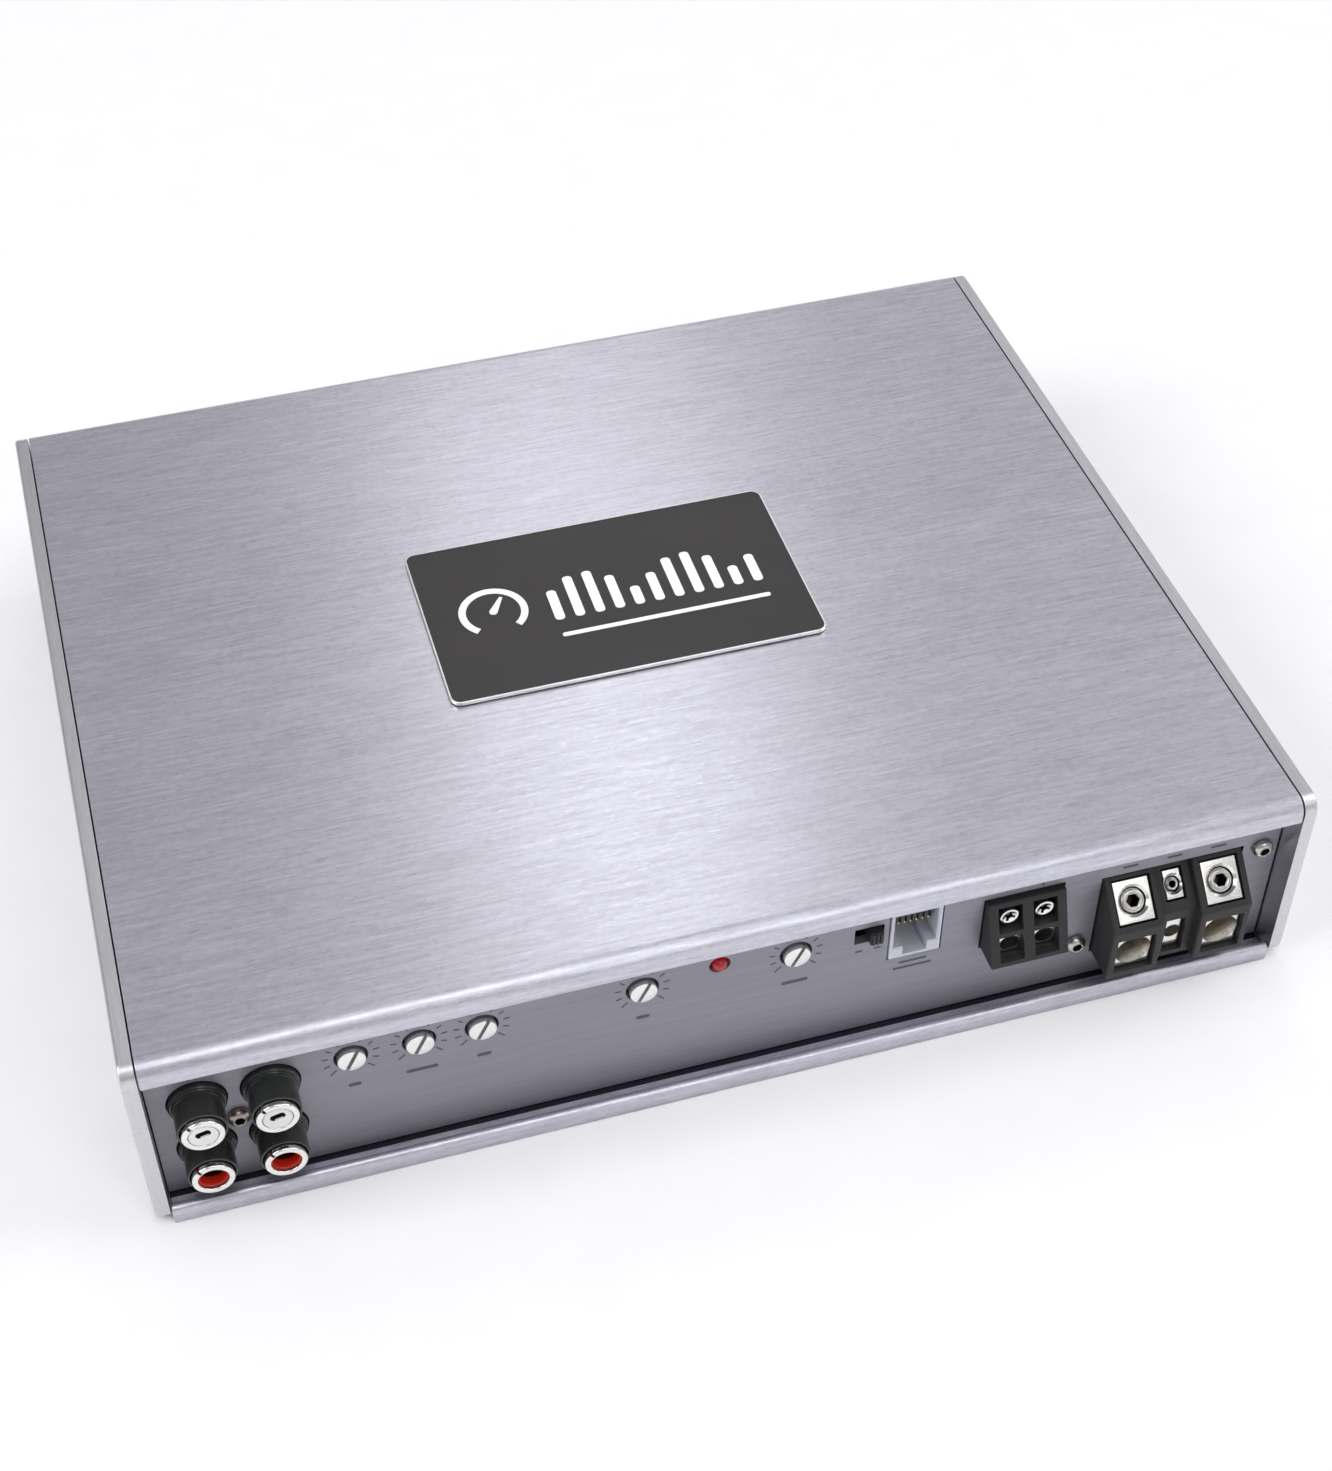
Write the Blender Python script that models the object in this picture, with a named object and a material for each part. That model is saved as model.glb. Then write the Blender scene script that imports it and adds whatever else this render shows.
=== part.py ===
"""Car amplifier: an extruded aluminium case between two end caps, with a recessed connector panel.

X runs along the width, -Y is the connector side, +Z is up. The origin is at the centre of the
footprint, on the mounting plane. Every dimension is in millimetres and becomes metres in place().
"""

import math

import bmesh
import bpy
from mathutils import Euler, Matrix, Vector

MM = 0.001
GAP = 0.3
SHARP_ANGLE = 35.0

# Driving dimensions of the case
WIDTH = 240.0
DEPTH = 196.0
HEIGHT = 48.0
PROUD = 2.6
FRONT = PROUD - (DEPTH + PROUD) / 2
BACK = FRONT + DEPTH
TIP = FRONT - PROUD
EDGE_RADIUS = 3.5
FOOT_RADIUS = 5.0

# Plates and walls
CAP_THICK = 3.0
INNER = WIDTH / 2 - CAP_THICK
SPAN = INNER - GAP
TOP_THICK = 4.0
REAR_THICK = 3.0
FLOOR_THICK = 2.0
LIP_DROP = 5.5
RIDGE_HEIGHT = 4.5
RIDGE_THICK = 2.2
RECESS = 6.0
PANEL_THICK = 2.0
PANEL_FACE = FRONT + RECESS
PANEL_BACK = PANEL_FACE + PANEL_THICK
BEHIND = PANEL_BACK + GAP

# End cap screws: M3 countersunk with a hexagon socket
SCREW_SHANK = 1.3
SCREW_HEAD = 2.8
SCREW_LENGTH = 11.0
CHANNEL_WIDTH = 2 * (SCREW_SHANK + GAP)
UPPER_SCREW_Z = HEIGHT - 7.4
LOWER_SCREW_Z = 6.5
UPPER_SCREW_YS = (FRONT + 13.5, BACK - 8.0)
LOWER_SCREW_YS = (FRONT + 24.0, BACK - 8.0)

# Connector panel, left to right
SOCKET_PITCH = 14.0
SOCKET_X = -100.5
SOCKET_Z = 21.5
TRIMMER_Z = 31.0
TRIMMERS = {"lowpass": -77.8, "phase": -64.5, "equaliser": -52.2, "highpass": -20.0, "level": 11.6}
TRIMMER_RADIUS = 2.8
TRIMMER_ANGLE = 26.0
LED_X = -4.2
LED_Z = 33.0
SWITCH_X = 27.0
SWITCH_Z = 31.6
SWITCH_TRAVEL = 2.4
JACK_X = 37.0
JACK_Z = 29.2
SPEAKER_X = 60.2
SPEAKER_Z = 26.4
POWER_X = 93.0
POWER_FOOT_Z = 9.4
PANEL_SCREWS = {"middle": (73.4, 13.6), "right": (113.0, 30.8)}

# Circuit boards
BOARD_SEAT_Z = 8.0
BOARD_THICK = 1.6
BOARD_FRONT = FRONT + 30.0
BOARD_BACK = BACK - 14.0
BOARD_TOP = BOARD_SEAT_Z + GAP + BOARD_THICK
CONTROL_Y = FRONT + 16.5

# Transistor rail and fins under the top plate
RAIL_Y = BACK - 60.0
RAIL_THICK = 5.0
RAIL_TIP = 22.0
FIN_COUNT = 7
FIN_PITCH = 11.0
FIN_HEIGHT = 6.0


def material(name, colour, roughness, metallic):
    """A plain Principled material."""
    mat = bpy.data.materials.new(name)
    mat.use_nodes = True
    shader = mat.node_tree.nodes["Principled BSDF"]
    shader.inputs["Base Color"].default_value = (*colour, 1.0)
    shader.inputs["Roughness"].default_value = roughness
    shader.inputs["Metallic"].default_value = metallic
    mat.diffuse_color = (*colour, 1.0)
    return mat


def arc(centre, radius, start, end, steps=5):
    """Points on a circle from one angle to another, in degrees."""
    points = []
    for step in range(steps + 1):
        angle = math.radians(start + (end - start) * step / steps)
        points.append((centre[0] + radius * math.cos(angle), centre[1] + radius * math.sin(angle)))
    return points


def rounded(x0, x1, y0, y1, radii, steps=5):
    """A rectangle whose corners, from the lower left and anticlockwise, have these radii."""
    corners = (
        (x0 + radii[0], y0 + radii[0], 180),
        (x1 - radii[1], y0 + radii[1], 270),
        (x1 - radii[2], y1 - radii[2], 0),
        (x0 + radii[3], y1 - radii[3], 90),
    )
    points = []
    for (x, y, start), radius in zip(corners, radii):
        points += arc((x, y), radius, start, start + 90, steps) if radius else [(x, y)]
    return points


def finished(bm):
    """The mesh of a bmesh, with its faces pointing out."""
    bmesh.ops.recalc_face_normals(bm, faces=bm.faces)
    mesh = bpy.data.meshes.new("shape")
    bm.to_mesh(mesh)
    bm.free()
    return mesh


def prism(outline, start, end, axis="X"):
    """An outline extruded along an axis. It lies in YZ for X, in XZ for Y and in XY for Z."""
    spots = {
        "X": lambda a, b: (start, a, b),
        "Y": lambda a, b: (a, start, b),
        "Z": lambda a, b: (a, b, start),
    }
    bm = bmesh.new()
    face = bm.faces.new([bm.verts.new(spots[axis](a, b)) for a, b in outline])
    moved = bmesh.ops.extrude_face_region(bm, geom=[face])["geom"]
    step = Vector([end - start if letter == axis else 0.0 for letter in "XYZ"])
    bmesh.ops.translate(bm, vec=step, verts=[v for v in moved if isinstance(v, bmesh.types.BMVert)])
    return finished(bm)


def block(x0, x1, y0, y1, z0, z1):
    """A box between two corners."""
    return prism([(x0, y0), (x1, y0), (x1, y1), (x0, y1)], z0, z1, "Z")


def turned(profile, segments=18, at=(0.0, 0.0, 0.0)):
    """A solid turned round an axis along Y.

    The profile holds (radius, y) or (radius, y, 6) for a hexagonal section, from tip to tip.
    """
    bm = bmesh.new()
    rings = []
    for radius, y, *sides in profile:
        if radius == 0:
            rings.append([bm.verts.new((at[0], at[1] + y, at[2]))])
            continue
        ring = []
        for index in range(segments):
            angle = 2 * math.pi * index / segments
            reach = radius
            if sides:
                wedge = 2 * math.pi / sides[0]
                reach = radius * math.cos(wedge / 2) / math.cos(angle % wedge - wedge / 2)
            x = at[0] + reach * math.cos(angle)
            ring.append(bm.verts.new((x, at[1] + y, at[2] + reach * math.sin(angle))))
        rings.append(ring)
    closed = len(rings[0]) > 1
    pairs = list(zip(rings, rings[1:]))
    if closed:
        pairs.append((rings[-1], rings[0]))
    for first, second in pairs:
        for index in range(segments):
            after = (index + 1) % segments
            if len(first) == 1:
                bm.faces.new((first[0], second[index], second[after]))
            elif len(second) == 1:
                bm.faces.new((first[index], first[after], second[0]))
            else:
                bm.faces.new((first[index], first[after], second[after], second[index]))
    return finished(bm)


def rod(radius, y0, y1, x=0.0, z=0.0, segments=18):
    """A cylinder along Y."""
    return turned([(0, y0), (radius, y0), (radius, y1), (0, y1)], segments, (x, 0.0, z))


def combined(mesh, other, operation):
    """The applied Boolean of two meshes."""
    target = bpy.data.objects.new("target", mesh)
    operand = bpy.data.objects.new("operand", other)
    for obj in (target, operand):
        bpy.context.collection.objects.link(obj)
    modifier = target.modifiers.new("Boolean", "BOOLEAN")
    modifier.operation = operation
    modifier.object = operand
    shaped = target.evaluated_get(bpy.context.evaluated_depsgraph_get())
    result = bpy.data.meshes.new_from_object(shaped)
    bpy.data.objects.remove(target)
    bpy.data.objects.remove(operand)
    return result


def cut(mesh, *cutters):
    """A mesh less its cutters, taken one by one because they may cross."""
    for cutter in cutters:
        mesh = combined(mesh, cutter, "DIFFERENCE")
    return mesh


def fused(mesh, *others):
    """A mesh grown by others that overlap it."""
    for other in others:
        mesh = combined(mesh, other, "UNION")
    return mesh


def spun(mesh, axis, degrees):
    """A copy of a mesh turned about its origin."""
    copy = mesh.copy()
    copy.transform(Matrix.Rotation(math.radians(degrees), 4, axis))
    return copy


def moved(mesh, x=0.0, y=0.0, z=0.0):
    """A copy of a mesh shifted from its place."""
    copy = mesh.copy()
    copy.transform(Matrix.Translation((x, y, z)))
    return copy


def place(name, mesh, mat, at=(0.0, 0.0, 0.0), turn=(0.0, 0.0, 0.0)):
    """Put a shape made in millimetres into the scene, in metres, under the amplifier's empty."""
    own = mesh.copy()
    own.name = name
    own.transform(Matrix.Scale(MM, 4))
    own.materials.clear()
    own.materials.append(mat)
    own.shade_smooth()
    own.set_sharp_from_angle(angle=math.radians(SHARP_ANGLE))
    obj = bpy.data.objects.new(name, own)
    obj.location = Vector(at) * MM
    obj.rotation_euler = Euler([math.radians(angle) for angle in turn])
    bpy.context.collection.objects.link(obj)
    obj.parent = bpy.data.objects["car_amplifier"]


def screw_channel(y, base, tip, opening):
    """The outline of a boss with an open channel for a screw, from one foot to the other."""
    half = CHANNEL_WIDTH / 2
    wall = half + 2.2
    return [(y - wall, base), (y - wall, tip), (y - half, tip), (y - half, opening),
            (y + half, opening), (y + half, tip), (y + wall, tip), (y + wall, base)]


def heatsink_shell():
    """Top plate, front lip, rear wall, inner fins, transistor rail and two screw channels."""
    under = HEIGHT - TOP_THICK
    depth_of_channel = UPPER_SCREW_Z + CHANNEL_WIDTH / 2
    channel_tip = UPPER_SCREW_Z - 3.6
    front_y, back_y = UPPER_SCREW_YS
    outline = [(FRONT + 0.6, HEIGHT - LIP_DROP)]
    outline += arc((FRONT + 0.6, HEIGHT - LIP_DROP + 0.6), 0.6, 270, 180, 2)[1:]
    outline += arc((FRONT + EDGE_RADIUS, HEIGHT - EDGE_RADIUS), EDGE_RADIUS, 180, 90, 6)
    outline += arc((BACK - EDGE_RADIUS, HEIGHT - EDGE_RADIUS), EDGE_RADIUS, 90, 0, 6)
    outline += [(BACK, FLOOR_THICK + GAP), (BACK - REAR_THICK, FLOOR_THICK + GAP)]
    outline += [(BACK - REAR_THICK, under)]
    outline += reversed(screw_channel(back_y, under, channel_tip, depth_of_channel))
    rail_back = RAIL_Y + RAIL_THICK
    outline += [(rail_back, under), (rail_back, RAIL_TIP), (RAIL_Y, RAIL_TIP), (RAIL_Y, under)]
    fin_tip = under - FIN_HEIGHT
    for fin in range(FIN_COUNT):
        y = RAIL_Y - 12.0 - FIN_PITCH * fin
        outline += [(y + 0.9, under), (y + 0.7, fin_tip), (y - 0.7, fin_tip), (y - 0.9, under)]
    outline += reversed(screw_channel(front_y, under, channel_tip, depth_of_channel))
    slot_front = PANEL_FACE - GAP
    slot_back = PANEL_BACK + GAP
    outline += [(slot_back, under), (slot_front, under), (slot_front, HEIGHT - LIP_DROP)]
    return prism(outline, -SPAN, SPAN)


def base_tray():
    """Floor with the front ridge, the panel's seat, two board rails and two screw channels."""
    front_y, back_y = LOWER_SCREW_YS
    half = RIDGE_THICK / 2
    opening = LOWER_SCREW_Z - CHANNEL_WIDTH / 2
    tip = LOWER_SCREW_Z + 3.6
    outline = [(FRONT, 0.0), (FRONT, RIDGE_HEIGHT - half)]
    outline += arc((FRONT + half, RIDGE_HEIGHT - half), half, 180, 0, 6)[1:]
    outline += [(FRONT + RIDGE_THICK, FLOOR_THICK)]
    outline += screw_channel(front_y, FLOOR_THICK, tip, opening)
    for front in (BOARD_FRONT + 2.0, BOARD_BACK - 5.0):
        back = front + 3.0
        outline += [(front, FLOOR_THICK), (front, BOARD_SEAT_Z), (back, BOARD_SEAT_Z), (back, FLOOR_THICK)]
    outline += screw_channel(back_y, FLOOR_THICK, tip, opening)
    outline += [(BACK, FLOOR_THICK), (BACK, 0.0)]
    return prism(outline, -SPAN, SPAN)


def cap_screw_places():
    """Where the end cap screws enter, lower pair first."""
    places = [(y, LOWER_SCREW_Z) for y in LOWER_SCREW_YS]
    return places + [(y, UPPER_SCREW_Z) for y in UPPER_SCREW_YS]


def end_cap():
    """Side plate with its outer face at x = 0 and four countersunk holes, for the right side."""
    outline = rounded(FRONT, BACK, 0.0, HEIGHT, (FOOT_RADIUS, FOOT_RADIUS, EDGE_RADIUS, EDGE_RADIUS), 5)
    plate = prism(outline, -CAP_THICK, 0.0)
    bm = bmesh.new()
    bm.from_mesh(plate)
    rim = [edge for edge in bm.edges if all(abs(vert.co.x) < 0.01 for vert in edge.verts)]
    bmesh.ops.bevel(bm, geom=rim, offset=0.6, segments=1, affect="EDGES")
    plate = finished(bm)
    head = SCREW_HEAD + GAP
    shank = SCREW_SHANK + GAP
    sink = [(0, -1.0), (head, -1.0), (head, 0.5), (shank, 0.5 + head - shank), (shank, 4.0), (0, 4.0)]
    hole = spun(turned(sink), "Z", 90)
    return cut(plate, *[moved(hole, y=y, z=z) for y, z in cap_screw_places()])


def countersunk_screw():
    """M3 screw along +Y with its head's face at y = 0."""
    neck = 0.2 + SCREW_HEAD - SCREW_SHANK
    socket = 1.15
    return turned([
        (0, 1.4), (socket, 1.3, 6), (socket, 0.0, 6), (SCREW_HEAD, 0.0), (SCREW_HEAD, 0.2),
        (SCREW_SHANK, neck), (SCREW_SHANK, SCREW_LENGTH - 0.6), (SCREW_SHANK - 0.5, SCREW_LENGTH),
        (0, SCREW_LENGTH),
    ])


def pan_screw(length):
    """Small pan head screw along +Y with the underside of its head at y = 0."""
    head = 2.2
    socket = 0.95
    return turned([
        (0, -0.4), (socket, -0.5, 6), (socket, -1.7, 6), (head - 0.7, -1.7), (head - 0.2, -1.3),
        (head, -0.8), (head, 0.0), (1.1, 0.0), (1.1, length - 0.4), (0.7, length), (0, length),
    ])


def socket_centres():
    """The four signal sockets, upper row first, from the left."""
    half = SOCKET_PITCH / 2
    return [(SOCKET_X + dx, SOCKET_Z + dz) for dz in (half, -half) for dx in (-half, half)]


def front_panel():
    """Recessed plate with an opening for every connector and control."""
    plate = block(-SPAN, SPAN, PANEL_FACE, PANEL_BACK, FLOOR_THICK + GAP, HEIGHT - TOP_THICK - GAP)
    y0, y1 = PANEL_FACE - 1.0, PANEL_BACK + 1.0
    cutters = [rod(BARREL_RADIUS + GAP, y0, y1, x, z, 24) for x, z in socket_centres()]
    cutters += [rod(TRIMMER_RADIUS + 0.6, y0, y1, x, TRIMMER_Z) for x in TRIMMERS.values()]
    cutters += [rod(LED_RADIUS + 0.6, y0, y1, LED_X, LED_Z)]
    cutters += [rod(1.4, y0, y1, x, z, 12) for x, z in [(SOCKET_X, SOCKET_Z), *PANEL_SCREWS.values()]]
    windows = (
        (SWITCH_X, SWITCH_Z, SWITCH_WINDOW),
        (JACK_X, JACK_Z, (JACK_SIZE[0] + 2 * GAP, JACK_SIZE[1] + 2 * GAP)),
        (SPEAKER_X, SPEAKER_Z, (SPEAKER_WIDTH + 2 * GAP, SPEAKER_HEIGHT + 2 * GAP)),
        (POWER_X, POWER_FOOT_Z + POWER_HEIGHT / 2, (POWER_WIDTH + 2 * GAP, POWER_HEIGHT + 2 * GAP)),
    )
    for x, z, (width, height) in windows:
        cutters.append(block(x - width / 2, x + width / 2, y0, y1, z - height / 2, z + height / 2))
    return cut(plate, *cutters)


# Signal sockets: a black block with four barrels, each with a plated shell round an insert
BARREL_RADIUS = 5.6
SLEEVE_RADIUS = 4.85
SHELL_RADIUS = 4.15
INSERT_RADIUS = 3.3
PIN_BORE = 1.6
SOCKET_BLOCK_BACK = FRONT + 19.5
SOCKET_SEAT = FRONT + 14.0


def socket_block():
    half = SOCKET_PITCH / 2 + BARREL_RADIUS + 1.0
    low, high = SOCKET_Z - half, SOCKET_Z + half
    body = block(SOCKET_X - half, SOCKET_X + half, BEHIND, SOCKET_BLOCK_BACK, low, high)
    flange = PANEL_FACE - 1.2
    sleeve = TIP + 1.3
    barrel = turned([
        (0, sleeve), (SLEEVE_RADIUS - 0.3, sleeve), (SLEEVE_RADIUS, sleeve + 0.4), (SLEEVE_RADIUS, flange),
        (BARREL_RADIUS, flange), (BARREL_RADIUS, BEHIND + 1.0), (0, BEHIND + 1.0),
    ], 24)
    body = fused(body, *[moved(barrel, x=x, z=z) for x, z in socket_centres()])
    bores = [rod(SHELL_RADIUS + GAP, TIP - 1.0, SOCKET_SEAT, x, z, 24) for x, z in socket_centres()]
    pilot = rod(1.4, BEHIND - 1.0, SOCKET_SEAT, SOCKET_X, SOCKET_Z, 12)
    return cut(body, *bores, pilot)


def socket_shell():
    """Plated tube with a rolled lip, its mouth at y = 0."""
    inner = INSERT_RADIUS + GAP
    depth = SOCKET_SEAT - GAP - TIP
    return turned([
        (inner, 0.3), (inner + 0.15, 0.0), (SHELL_RADIUS - 0.25, 0.0), (SHELL_RADIUS, 0.3),
        (SHELL_RADIUS, depth), (inner, depth),
    ], 24)


def socket_insert():
    """Coloured insulator with its pin bore, its face at y = 0."""
    depth = SOCKET_SEAT - GAP - TIP - 0.9
    return turned([
        (0, 8.0), (PIN_BORE, 8.0), (PIN_BORE, 0.3), (PIN_BORE + 0.3, 0.0), (INSERT_RADIUS - 0.3, 0.0),
        (INSERT_RADIUS, 0.3), (INSERT_RADIUS, depth), (0, depth),
    ], 24)


# Trimmers
TRIMMER_PROUD = 1.2
TRIMMER_DISC = 2.8
SHAFT_RADIUS = 1.5
SHAFT_END = 10.7
POT_SIZE = (9.6, 9.0)
POT_FRONT = BEHIND + 0.3


def trimmer_knob():
    """Slotted disc and shaft round the Y axis, with the disc's face at y = 0."""
    body = turned([
        (0, 0.0), (TRIMMER_RADIUS - 0.25, 0.0), (TRIMMER_RADIUS, 0.25), (TRIMMER_RADIUS, TRIMMER_DISC),
        (SHAFT_RADIUS, TRIMMER_DISC), (SHAFT_RADIUS, SHAFT_END), (0, SHAFT_END),
    ], 24)
    slot = block(-0.4, 0.4, -1.0, 0.9, -4.0, 4.0)
    return cut(body, slot)


def trimmer_pot():
    """Potentiometer case round the Y axis, with a through bore for the shaft."""
    width, height = POT_SIZE
    depth = CONTROL_Y - GAP - POT_FRONT
    case = block(-width / 2, width / 2, 0.0, depth, -height / 2, height / 2)
    return cut(case, rod(SHAFT_RADIUS + GAP, -1.0, depth + 1.0))


# Indicator
LED_RADIUS = 1.6


def power_led():
    """Domed lens with its collar behind the panel and its base on the control board."""
    dome = arc((0.0, 0.0), LED_RADIUS, 270, 360, 5)
    front = [(x, y + LED_RADIUS) for x, y in dome]
    collar = BEHIND - PANEL_FACE + 1.6
    end = CONTROL_Y - GAP - PANEL_FACE + 1.2
    profile = [(0, front[0][1])] + front[1:]
    profile += [(LED_RADIUS, collar), (LED_RADIUS + 0.4, collar), (LED_RADIUS + 0.4, end), (0, end)]
    return turned(profile)


# Slide switch
SWITCH_WINDOW = (6.2, 4.4)
SWITCH_KNOB = (2.8, 3.4)


def slide_switch_body():
    """Black case behind the window, with a slot that the slider's stem runs in."""
    case = block(-4.2, 4.2, BEHIND, CONTROL_Y - GAP, -3.4, 3.4)
    slot = block(-SWITCH_WINDOW[0] / 2, SWITCH_WINDOW[0] / 2, BEHIND - 1.0, BEHIND + 5.0, -2.2, 2.2)
    return cut(case, slot)


def slide_switch_knob():
    half_width, half_height = SWITCH_KNOB[0] / 2, SWITCH_KNOB[1] / 2
    return block(-half_width, half_width, PANEL_FACE - 1.9, BEHIND + 4.4, -half_height, half_height)


# Remote control jack
JACK_SIZE = (11.0, 13.6)
JACK_WALL = 0.9
JACK_DEPTH = 13.0


def remote_jack():
    """Pale modular socket: an open box with a latch groove in its floor."""
    half_width, half_height = JACK_SIZE[0] / 2, JACK_SIZE[1] / 2
    front = PANEL_FACE - 0.3
    back = front + JACK_DEPTH + 2.0
    case = block(-half_width, half_width, front, back, -half_height, half_height)
    inner_width, inner_height = half_width - JACK_WALL, half_height - JACK_WALL
    floor = -inner_height + 2.2
    mouth = block(-inner_width, inner_width, front - 1.0, front + JACK_DEPTH, floor, inner_height)
    latch = block(-2.6, 2.6, front - 1.0, front + JACK_DEPTH, -inner_height, inner_height)
    return cut(case, fused(mouth, latch))


# Speaker terminals: two cells under a face tilted back
SPEAKER_WIDTH = 17.0
SPEAKER_HEIGHT = 14.2
SPEAKER_PITCH = 7.6
SPEAKER_TILT = 20.0
SPEAKER_FOOT = FRONT - 0.6
SPEAKER_BACK = FRONT + 17.0
SPEAKER_SEAT = FRONT + 14.0
SPEAKER_CELL = (5.8, 5.6)
SPEAKER_CELL_FEET = (1.0, 7.5)
SPEAKER_CLAMP_FRONT = FRONT + 2.6
SPEAKER_SCREW_RADIUS = 2.1
SPEAKER_SCREW_FACE = FRONT + 3.8


def speaker_face_y(z):
    """Where the tilted face lies at a height above the block's foot."""
    return SPEAKER_FOOT + z * math.tan(math.radians(SPEAKER_TILT))


def speaker_screw_z():
    return SPEAKER_Z - SPEAKER_HEIGHT / 2 + SPEAKER_CELL_FEET[1] + SPEAKER_CELL[1] / 2


def speaker_cells():
    """The middle of each cell along X."""
    return [SPEAKER_X + side * SPEAKER_PITCH / 2 for side in (-1, 1)]


def speaker_block():
    foot = SPEAKER_Z - SPEAKER_HEIGHT / 2
    outline = [
        (speaker_face_y(0.0), foot), (speaker_face_y(SPEAKER_HEIGHT), foot + SPEAKER_HEIGHT),
        (SPEAKER_BACK, foot + SPEAKER_HEIGHT), (SPEAKER_BACK, foot),
    ]
    body = prism(outline, SPEAKER_X - SPEAKER_WIDTH / 2, SPEAKER_X + SPEAKER_WIDTH / 2)
    half = SPEAKER_CELL[0] / 2
    cutters = []
    for x in speaker_cells():
        for low in SPEAKER_CELL_FEET:
            z0, z1 = foot + low, foot + low + SPEAKER_CELL[1]
            cutters.append(block(x - half, x + half, SPEAKER_FOOT - 2.0, SPEAKER_SEAT, z0, z1))
    return cut(body, *cutters)


def speaker_clamp():
    """Plated cage in the lower window, round the wire's way, with its front face at y = 0."""
    half = SPEAKER_CELL[0] / 2 - GAP
    height = SPEAKER_CELL[1] - 2 * GAP
    depth = SPEAKER_SEAT - GAP - SPEAKER_CLAMP_FRONT
    cage = block(-half, half, 0.0, depth, 0.0, height)
    return cut(cage, rod(2.05, -1.0, depth - 1.0, 0.0, height / 2))


def slotted_screw(radius, length):
    """Terminal screw along +Y with a slotted face at y = 0."""
    body = turned([
        (0, 0.0), (radius - 0.3, 0.0), (radius, 0.3), (radius, 2.4), (radius - 0.6, 2.4),
        (radius - 0.6, length), (0, length),
    ])
    return cut(body, block(-0.4, 0.4, -1.0, 1.0, -radius - 1.0, radius + 1.0))


# Power terminals: two large cells and a smaller one set back between them
POWER_WIDTH = 31.0
POWER_HEIGHT = 22.5
POWER_NOSE = FRONT - 2.2
POWER_BACK = FRONT + 19.5
POWER_CHIN = 14.0
POWER_WINDOW = (1.5, 11.4)
POWER_DEPTH = 17.0
CLAMP_DEPTH = 11.0
SET_SCREW_LENGTH = 8.5


class PowerCell:
    """One terminal: its place and width, how far it is set back, and the sizes of what is in it."""

    def __init__(self, centre, width, inset, cavity, slope, bore, screw):
        self.x = POWER_X + centre
        self.width = width
        self.nose = POWER_NOSE + inset
        self.cavity = cavity
        self.slope = slope
        self.bore = bore
        self.screw = screw

    def outline(self):
        """Side outline: an upright lower face, then a slope leaning back at 45 degrees."""
        top = POWER_FOOT_Z + POWER_HEIGHT
        return [
            (self.nose, POWER_FOOT_Z), (self.nose, POWER_FOOT_Z + POWER_CHIN),
            (self.nose + POWER_HEIGHT - POWER_CHIN, top), (POWER_BACK, top), (POWER_BACK, POWER_FOOT_Z),
        ]

    def on_slope(self, along, depth=0.0):
        """A point at a distance up the slope and at a depth below it, in the side view."""
        y = self.nose + (along + depth) * math.sqrt(0.5)
        return y, POWER_FOOT_Z + POWER_CHIN + (along - depth) * math.sqrt(0.5)

    def window(self, front, shrink):
        """The wire's way in the lower face, or the body of the clamp there when shrunk."""
        half = self.cavity / 2 - shrink
        low, high = (POWER_FOOT_Z + z for z in POWER_WINDOW)
        back = POWER_NOSE + POWER_DEPTH - shrink
        return block(self.x - half, self.x + half, self.nose + front, back, low + shrink, high - shrink)

    def well(self, front, shrink):
        """The opening in the slope, or the head of the clamp in it when shrunk."""
        half = self.cavity / 2 - shrink
        low, high = self.slope[0] + shrink, self.slope[1] - shrink
        deep = CLAMP_DEPTH - shrink
        outline = [
            self.on_slope(low, front), self.on_slope(high, front),
            self.on_slope(high, deep), self.on_slope(low, deep),
        ]
        return prism(outline, self.x - half, self.x + half)

    def screw_head(self):
        """The middle of the set screw's face, just below the clamp's."""
        return (self.x, *self.on_slope(sum(self.slope) / 2, 0.7))

    def clamp(self):
        """Plated block with a wire bore below and a screw hole square to its sloping head."""
        solid = fused(self.window(1.2, GAP), self.well(0.4, GAP))
        low, high = (POWER_FOOT_Z + z for z in POWER_WINDOW)
        wire = rod(self.bore, self.nose, POWER_NOSE + POWER_DEPTH - 2.0, self.x, (low + high) / 2)
        thread = spun(rod(self.screw + GAP, -3.0, CLAMP_DEPTH - 1.2), "X", -45)
        x, y, z = self.screw_head()
        return cut(solid, wire, moved(thread, x, y, z))

    def set_screw(self):
        """Threaded plug with a hexagon socket, its face at y = 0."""
        radius = self.screw
        return turned([
            (0, 2.2), (radius * 0.55, 2.0, 6), (radius * 0.55, 0.0, 6), (radius - 0.4, 0.0),
            (radius, 0.4), (radius, SET_SCREW_LENGTH - 0.5), (radius - 0.5, SET_SCREW_LENGTH),
            (0, SET_SCREW_LENGTH),
        ])


POWER_CELLS = {
    "ground": PowerCell(-9.8, 11.4, 0.0, 8.7, (1.2, 11.0), 3.3, 2.6),
    "remote": PowerCell(0.0, 10.0, 2.4, 4.6, (2.2, 9.2), 1.7, 1.4),
    "battery": PowerCell(9.8, 11.4, 0.0, 8.7, (1.2, 11.0), 3.3, 2.6),
}


def power_block():
    """Three cells side by side, each with a wire entry below and a well in its slope."""
    bodies = []
    cutters = []
    for cell in POWER_CELLS.values():
        bodies.append(prism(cell.outline(), cell.x - cell.width / 2, cell.x + cell.width / 2))
        cutters += [cell.window(-1.0, 0.0), cell.well(-1.0, 0.0)]
    return cut(fused(*bodies), *cutters)


# Circuit boards and what they carry


def main_board():
    return block(-INNER + 5.0, INNER - 5.0, BOARD_FRONT, BOARD_BACK, BOARD_TOP - BOARD_THICK, BOARD_TOP)


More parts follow.
